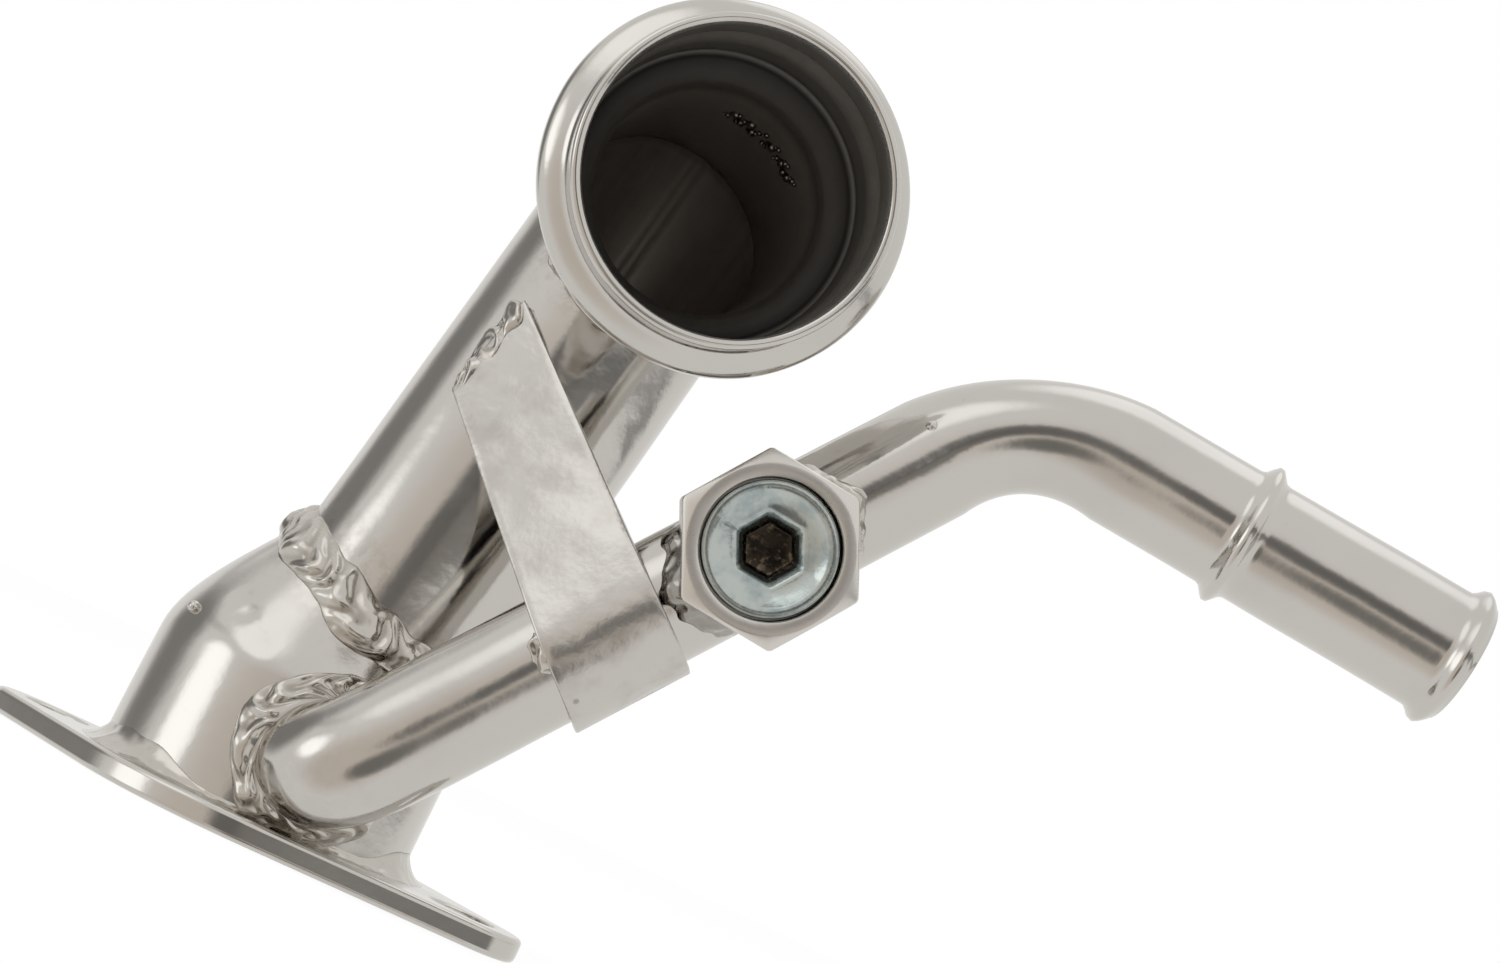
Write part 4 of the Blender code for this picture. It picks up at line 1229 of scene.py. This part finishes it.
class OUTLET_OT_strap(bpy.types.Operator):
    """Makes the strap that ties the tubes, with its weld and its tack"""

    bl_idname = "outlet.strap"
    bl_label = "Strap"

    def execute(self, context):
        inner_l, outer_l, out, along = strap_edge(STRAP_FOOT[0], STRAP_HEAD[0])
        inner_r, outer_r, _, _ = strap_edge(STRAP_FOOT[1], STRAP_HEAD[1])
        rows = []
        for a, b, c, d in zip(inner_l, inner_r, outer_r, outer_l):
            row = [a.lerp(b, share) for share in spread(0.0, 1.0, 14)]
            row += [c.lerp(d, share) for share in spread(0.0, 1.0, 14)]
            rows.append(row)
        strap = add_skin("strap_bracket_sheet", rows, wrap=False, cap=True)
        round_edges(strap, "Sheared edges", 0.28 * MM, 3)
        for vert in strap.data.vertices:
            vert.co += Vector(vert.normal) * 0.012 * MM * noise.noise(vert.co / (2.2 * MM))
        dress(strap, finish("strap steel"), "sheet_steel", "strap_bracket")

        stations = []
        for share in spread(0.0, 1.0, 90):
            edge = inner_l[-1].lerp(inner_r[-1], share)
            fade = ease(min(share, 1 - share), 0.0, 0.12) * 0.75 + 0.25
            width = 2.3 * MM * fade * uneven(edge, 7.0, 3 * MM, 0.6)
            first = edge + along * width - out * 0.5 * MM
            second = edge + out * (STRAP_T - 0.05 * MM) - along * width * 0.8
            ridge = edge + out * STRAP_T * 0.5
            stations.append((first, ridge, second, (out + along * 0.45).normalized(), 0.9 * MM * fade))
        weld_piece("strap_weld_bead", stations, False, "strap_weld", Lump_height=0.7 * MM,
                   Lump_size=2.6 * MM, Seed=31.0)

        edge = max((point - STRAP_ORIGIN).dot(RUN_AXIS) * -1 for point in inner_l[8:20])
        stations = []
        low, high = radians(-12), radians(30)
        for angle in spread(low, high, 40):
            lift = STRAP_UP * sin(angle) + BUNG_AXIS * cos(angle)
            corner = STRAP_ORIGIN + lift * HEATER_R - RUN_AXIS * edge
            fade = ease(min(angle - low, high - angle), 0.0, radians(9)) * 0.8 + 0.2
            foot = corner - RUN_AXIS * 1.9 * MM * fade - lift * 0.1 * MM
            head = corner + lift * (0.35 * MM + STRAP_T * 0.9) + RUN_AXIS * 0.3 * MM
            stations.append((foot, corner, head, (lift - RUN_AXIS * 0.6).normalized(), 0.5 * MM * fade))
        weld_piece("strap_tack_bead", stations, False, "strap_tack", Lump_height=0.4 * MM,
                   Lump_size=1.8 * MM, Seed=35.0)
        return {"FINISHED"}


class OUTLET_OT_spatter(bpy.types.Operator):
    """Scatters the weld droplets that the plating caught, outside and down in the neck"""

    bl_idname = "outlet.spatter"
    bl_label = "Weld spatter"

    def execute(self, context):
        spots = [
            Vector((-11.5, -17.6, 23.5)) * MM,
            Vector((22.3, -10.9, 75.6)) * MM,
            Vector((66.8, -16.7, 80.6)) * MM,
        ]
        piece = add_points("weld_spatter", spots)
        tree = spatter_tree()
        run_tree(piece, tree, finish("plate steel"), Droplet=context.scene.outlet_beads.droplet)
        dress(piece, finish("plate steel"), "polished_steel")

        first, second = across(NECK_AXIS, Z_AXIS)
        spots = []
        drips = 34
        throat = 13.7 * MM
        golden = 0.618
        for i in range(drips):
            turn = radians(-48 + 56 * (i * golden % 1))
            back = 31 * MM + (i * 7 % 10) * 0.5 * MM
            spoke = first * cos(turn) + second * sin(turn)
            spots.append(MOUTH - NECK_AXIS * back + spoke * throat)
        piece = add_points("neck_drips", spots)
        run_tree(piece, tree, finish("darker bead"), Droplet=0.65 * MM, Smallest=0.3, Seed=8)
        dress(piece, finish("darker bead"), "weld_metal")
        return {"FINISHED"}


class OUTLET_OT_stage(bpy.types.Operator):
    """Sets the floor, the soft studio round it, the lamps and the camera"""

    bl_idname = "outlet.stage"
    bl_label = "Stage"

    def execute(self, context):
        look = context.scene.outlet_stage
        reach = 3.0
        corners = [(-reach, -reach, 0), (reach, -reach, 0), (reach, reach, 0), (-reach, reach, 0)]
        floor = add_points("floor", [Vector(c) - Z_AXIS * 0.1 * MM for c in corners], [(0, 1, 2, 3)])
        material = bpy.data.materials.new("pale floor")
        material.use_nodes = True
        bench = Bench(material.node_tree)
        material.node_tree.nodes.remove(material.node_tree.nodes["Principled BSDF"])
        path = material.node_tree.nodes.new("ShaderNodeLightPath")
        camera_ray = Wire(bench, path.outputs["Is Camera Ray"])
        glossy_ray = Wire(bench, path.outputs["Is Glossy Ray"])
        dull = bench.add("ShaderNodeBsdfDiffuse", None, {"Color": (*look.floor, 1.0)})
        white = bench.add("ShaderNodeEmission", None, {"Color": (1, 1, 1, 1), "Strength": 1.0})
        clear = bench.add("ShaderNodeBsdfTransparent")
        seen = bench.add("ShaderNodeMixShader", None, {0: camera_ray * look.whiteness, 1: dull, 2: white})
        done = bench.add("ShaderNodeMixShader", None, {0: glossy_ray, 1: seen, 2: clear})
        target = material.node_tree.nodes["Material Output"]
        material.node_tree.links.new(done.socket, target.inputs["Surface"])
        floor.data.materials.append(material)

        world = bpy.data.worlds.new("soft studio")
        context.scene.world = world
        world.use_nodes = True
        world.node_tree.nodes.clear()
        bench = Bench(world.node_tree)
        way = bench.vector("NORMALIZE", bench.add("ShaderNodeTexCoord", output="Generated"))

        def toward(azimuth, height):
            a, h = radians(azimuth), radians(height)
            return sin(a) * cos(h), cos(a) * cos(h), sin(h)

        def pool(azimuth, height, wide, narrow):
            near = bench.vector("DOT_PRODUCT", way, toward(azimuth, height), output="Value")
            return bench.step(near, cos(radians(wide)), cos(radians(narrow)))

        rise = bench.add("ShaderNodeSeparateXYZ", None, {0: way}, output=2)
        # Each pool: azimuth, height, outer and inner reach in degrees, share, colour
        light = look.studio
        for azimuth, height, outer, inner, share, hue in (
            (177, -26, 50, 16, 1.0, (0.70, 0.64, 0.575)),
            (-150, 38, 24, 10, 1.0, (1.30, 1.30, 1.28)),
            (-132, -3, 16, 7, 1.0, (1.65, 1.65, 1.65)),
            (-88, 9, 28, 10, 0.85, (0.17, 0.165, 0.16)),
            (0, 75, 26, 12, 1.0, (1.25, 1.25, 1.25)),
            (163, -2, 15, 5, 0.9, (0.12, 0.12, 0.12)),
            (153, -31, 19, 7, 0.85, (0.13, 0.13, 0.125)),
        ):
            light = bench.colour(pool(azimuth, height, outer, inner) * share, light, hue)

        # Each band: its rise, outer and inner reach, the pool that it lies in, share, colour
        for middle, outer, inner, within, share, hue in (
            (-0.06, 0.12, 0.05, (122, -4, 40, 26), 0.82, (0.13, 0.125, 0.115)),
            (-0.005, 0.03, 0.008, (95, 0, 70, 50), 0.8, (0.07, 0.07, 0.07)),
            (0.36, 0.07, 0.02, (-70, 22, 60, 40), 0.35, (0.30, 0.29, 0.28)),
        ):
            band = bench.step(abs(rise - middle), outer, inner) * pool(*within)
            light = bench.colour(band * share, light, hue)
        path = world.node_tree.nodes.new("ShaderNodeLightPath")
        camera_ray = Wire(bench, path.outputs["Is Camera Ray"])
        shade = bench.colour(camera_ray, light, (1, 1, 1))
        ground = bench.add("ShaderNodeBackground", None, {"Color": shade, "Strength": 1.0})
        bench.add("ShaderNodeOutputWorld", None, {"Surface": ground})

        for name, place, aim, size, power in (
            ("key lamp", (-0.35, -0.45, 0.75), (0.03, 0, 0.05), 0.45, look.key_power),
            ("rim lamp", (0.55, 0.5, 0.35), (0.05, 0, 0.06), 0.3, look.rim_power),
        ):
            data = bpy.data.lights.new(name, "AREA")
            data.size = size
            data.energy = power
            lamp = bpy.data.objects.new(name, data)
            context.scene.collection.objects.link(lamp)
            lamp.location = place
            lamp.visible_glossy = False
            lamp.rotation_euler = (Vector(aim) - Vector(place)).to_track_quat("-Z", "Y").to_euler()

        camera = bpy.data.objects.new("camera", bpy.data.cameras.new("camera"))
        context.scene.collection.objects.link(camera)
        right = Vector((0.88321, 0.20773, 0.42046))
        up = Vector((-0.35544, -0.28839, 0.8891))
        forward = Vector((-0.30595, 0.93471, 0.18087))
        turn = Matrix((right, up, -forward)).transposed().to_4x4()
        eye = Vector((127.27129, -256.76046, 19.42439)) * MM
        camera.matrix_world = Matrix.Translation(eye) @ turn
        camera.data.lens = 50
        camera.data.sensor_width = 36
        camera.data.clip_start = 0.01
        context.scene.camera = camera
        context.scene.view_settings.view_transform = "Standard"
        return {"FINISHED"}


# Properties, panel and registration


def metres(name, description, default):
    return bpy.props.FloatProperty(
        name=name, description=description, default=default, unit="LENGTH", precision=5)


def tint(name, description, default):
    return bpy.props.FloatVectorProperty(
        name=name, description=description, default=default, size=3, subtype="COLOR", min=0.0, max=1.0)


class OutletSizes(bpy.types.PropertyGroup):
    edge_wear: metres("Edge wear", "Rounding of the flange plate's edges", 0.75 * MM)
    neck_bead_width: metres("Neck bead width", "Width of the rolled bead on the hose neck", 6.4 * MM)
    neck_bead_height: metres("Neck bead height", "Height of the rolled bead on the hose neck", 3.0 * MM)
    stop_bead_height: metres("Stop bead height", "Height of the bead that stops the heater hose", 1.6 * MM)
    end_bead_height: metres("End bead height", "Height of the bead at the barb's end", 1.2 * MM)
    plug_dish: metres("Plug dish", "Depth of the dish in the plug's face", 1.3 * MM)


class OutletBeads(bpy.types.PropertyGroup):
    joint_width: metres("Joint bead width", "Width of the bead round the elbow's joint", 6.4 * MM)
    joint_height: metres("Joint bead height", "Height of the bead round the elbow's joint", 1.7 * MM)
    fillet_leg: metres("Fillet leg", "Leg of the fillet between the plate and the elbow", 3.2 * MM)
    neck_width: metres("Neck weld width", "Width of the bead round the neck's mitre", 5.0 * MM)
    neck_height: metres("Neck weld height", "Height of the bead round the neck's mitre", 1.3 * MM)
    root_width: metres("Root bead width", "Width of the bead round the heater tube's root", 6.6 * MM)
    root_height: metres("Root bead height", "Height of the bead round the heater tube's root", 1.5 * MM)
    ripple_pitch: metres("Ripple pitch", "Distance between the ripples of a bead", 3.5 * MM)
    ripple_height: metres("Ripple height", "Depth of the hollows between ripples", 0.5 * MM)
    lump_height: metres("Lump height", "How far a bead's slow lumps rise and fall", 0.45 * MM)
    droplet: metres("Droplet", "Radius of the largest weld droplet", 0.85 * MM)


class OutletFinish(bpy.types.PropertyGroup):
    steel: tint("Steel", "Colour of the plated tubes and plate", (0.60, 0.58, 0.55))
    weld: tint("Weld", "Colour of the weld beads", (0.56, 0.535, 0.495))
    strap: tint("Strap", "Colour of the strap", (0.60, 0.58, 0.55))
    zinc: tint("Zinc", "Colour of the plug", (0.50, 0.54, 0.52))


class OutletStage(bpy.types.PropertyGroup):
    floor: tint("Floor", "Colour of the floor", (0.86, 0.86, 0.85))
    studio: tint("Studio", "Colour of the soft light all round", (0.86, 0.85, 0.83))
    whiteness: bpy.props.FloatProperty(
        name="Whiteness", description="How much of the floor is plain white to the camera",
        default=0.94, min=0.0, max=1.0, subtype="FACTOR")
    key_power: bpy.props.FloatProperty(
        name="Key power", description="Power of the key lamp", default=5.0, min=0.0, unit="POWER")
    rim_power: bpy.props.FloatProperty(
        name="Rim power", description="Power of the lamp behind", default=2.0, min=0.0, unit="POWER")


class OUTLET_PT_panel(bpy.types.Panel):
    """Lists the sizes, the finishes and the buttons that make the pieces"""

    bl_idname = "OUTLET_PT_panel"
    bl_label = "Coolant Outlet"
    bl_space_type = "VIEW_3D"
    bl_region_type = "UI"
    bl_category = "Coolant Outlet"

    def draw(self, context):
        for group in GROUPS:
            box = self.layout.box()
            settings = getattr(context.scene, group)
            for name in GROUPS[group].__annotations__:
                box.prop(settings, name)
        for step in STEPS:
            self.layout.operator(step.bl_idname)


GROUPS = {
    "outlet_sizes": OutletSizes,
    "outlet_beads": OutletBeads,
    "outlet_finish": OutletFinish,
    "outlet_stage": OutletStage,
}
STEPS = (
    OUTLET_OT_stage,
    OUTLET_OT_flange,
    OUTLET_OT_lower_elbow,
    OUTLET_OT_main_pipe,
    OUTLET_OT_radiator_neck,
    OUTLET_OT_heater_tube,
    OUTLET_OT_pipe_welds,
    OUTLET_OT_bung,
    OUTLET_OT_strap,
    OUTLET_OT_spatter,
)


def register():
    for group, kind in GROUPS.items():
        bpy.utils.register_class(kind)
        setattr(bpy.types.Scene, group, bpy.props.PointerProperty(type=kind))
    for kind in STEPS + (OUTLET_PT_panel,):
        bpy.utils.register_class(kind)


def unregister():
    for kind in reversed(STEPS + (OUTLET_PT_panel,)):
        bpy.utils.unregister_class(kind)
    for group, kind in GROUPS.items():
        delattr(bpy.types.Scene, group)
        bpy.utils.unregister_class(kind)


def main():
    register()
    bpy.ops.outlet.stage()
    bpy.ops.outlet.flange()
    bpy.ops.outlet.lower_elbow()
    bpy.ops.outlet.main_pipe()
    bpy.ops.outlet.radiator_neck()
    bpy.ops.outlet.heater_tube()
    bpy.ops.outlet.pipe_welds()
    bpy.ops.outlet.bung()
    bpy.ops.outlet.strap()
    bpy.ops.outlet.spatter()


if __name__ == "__main__":
    main()
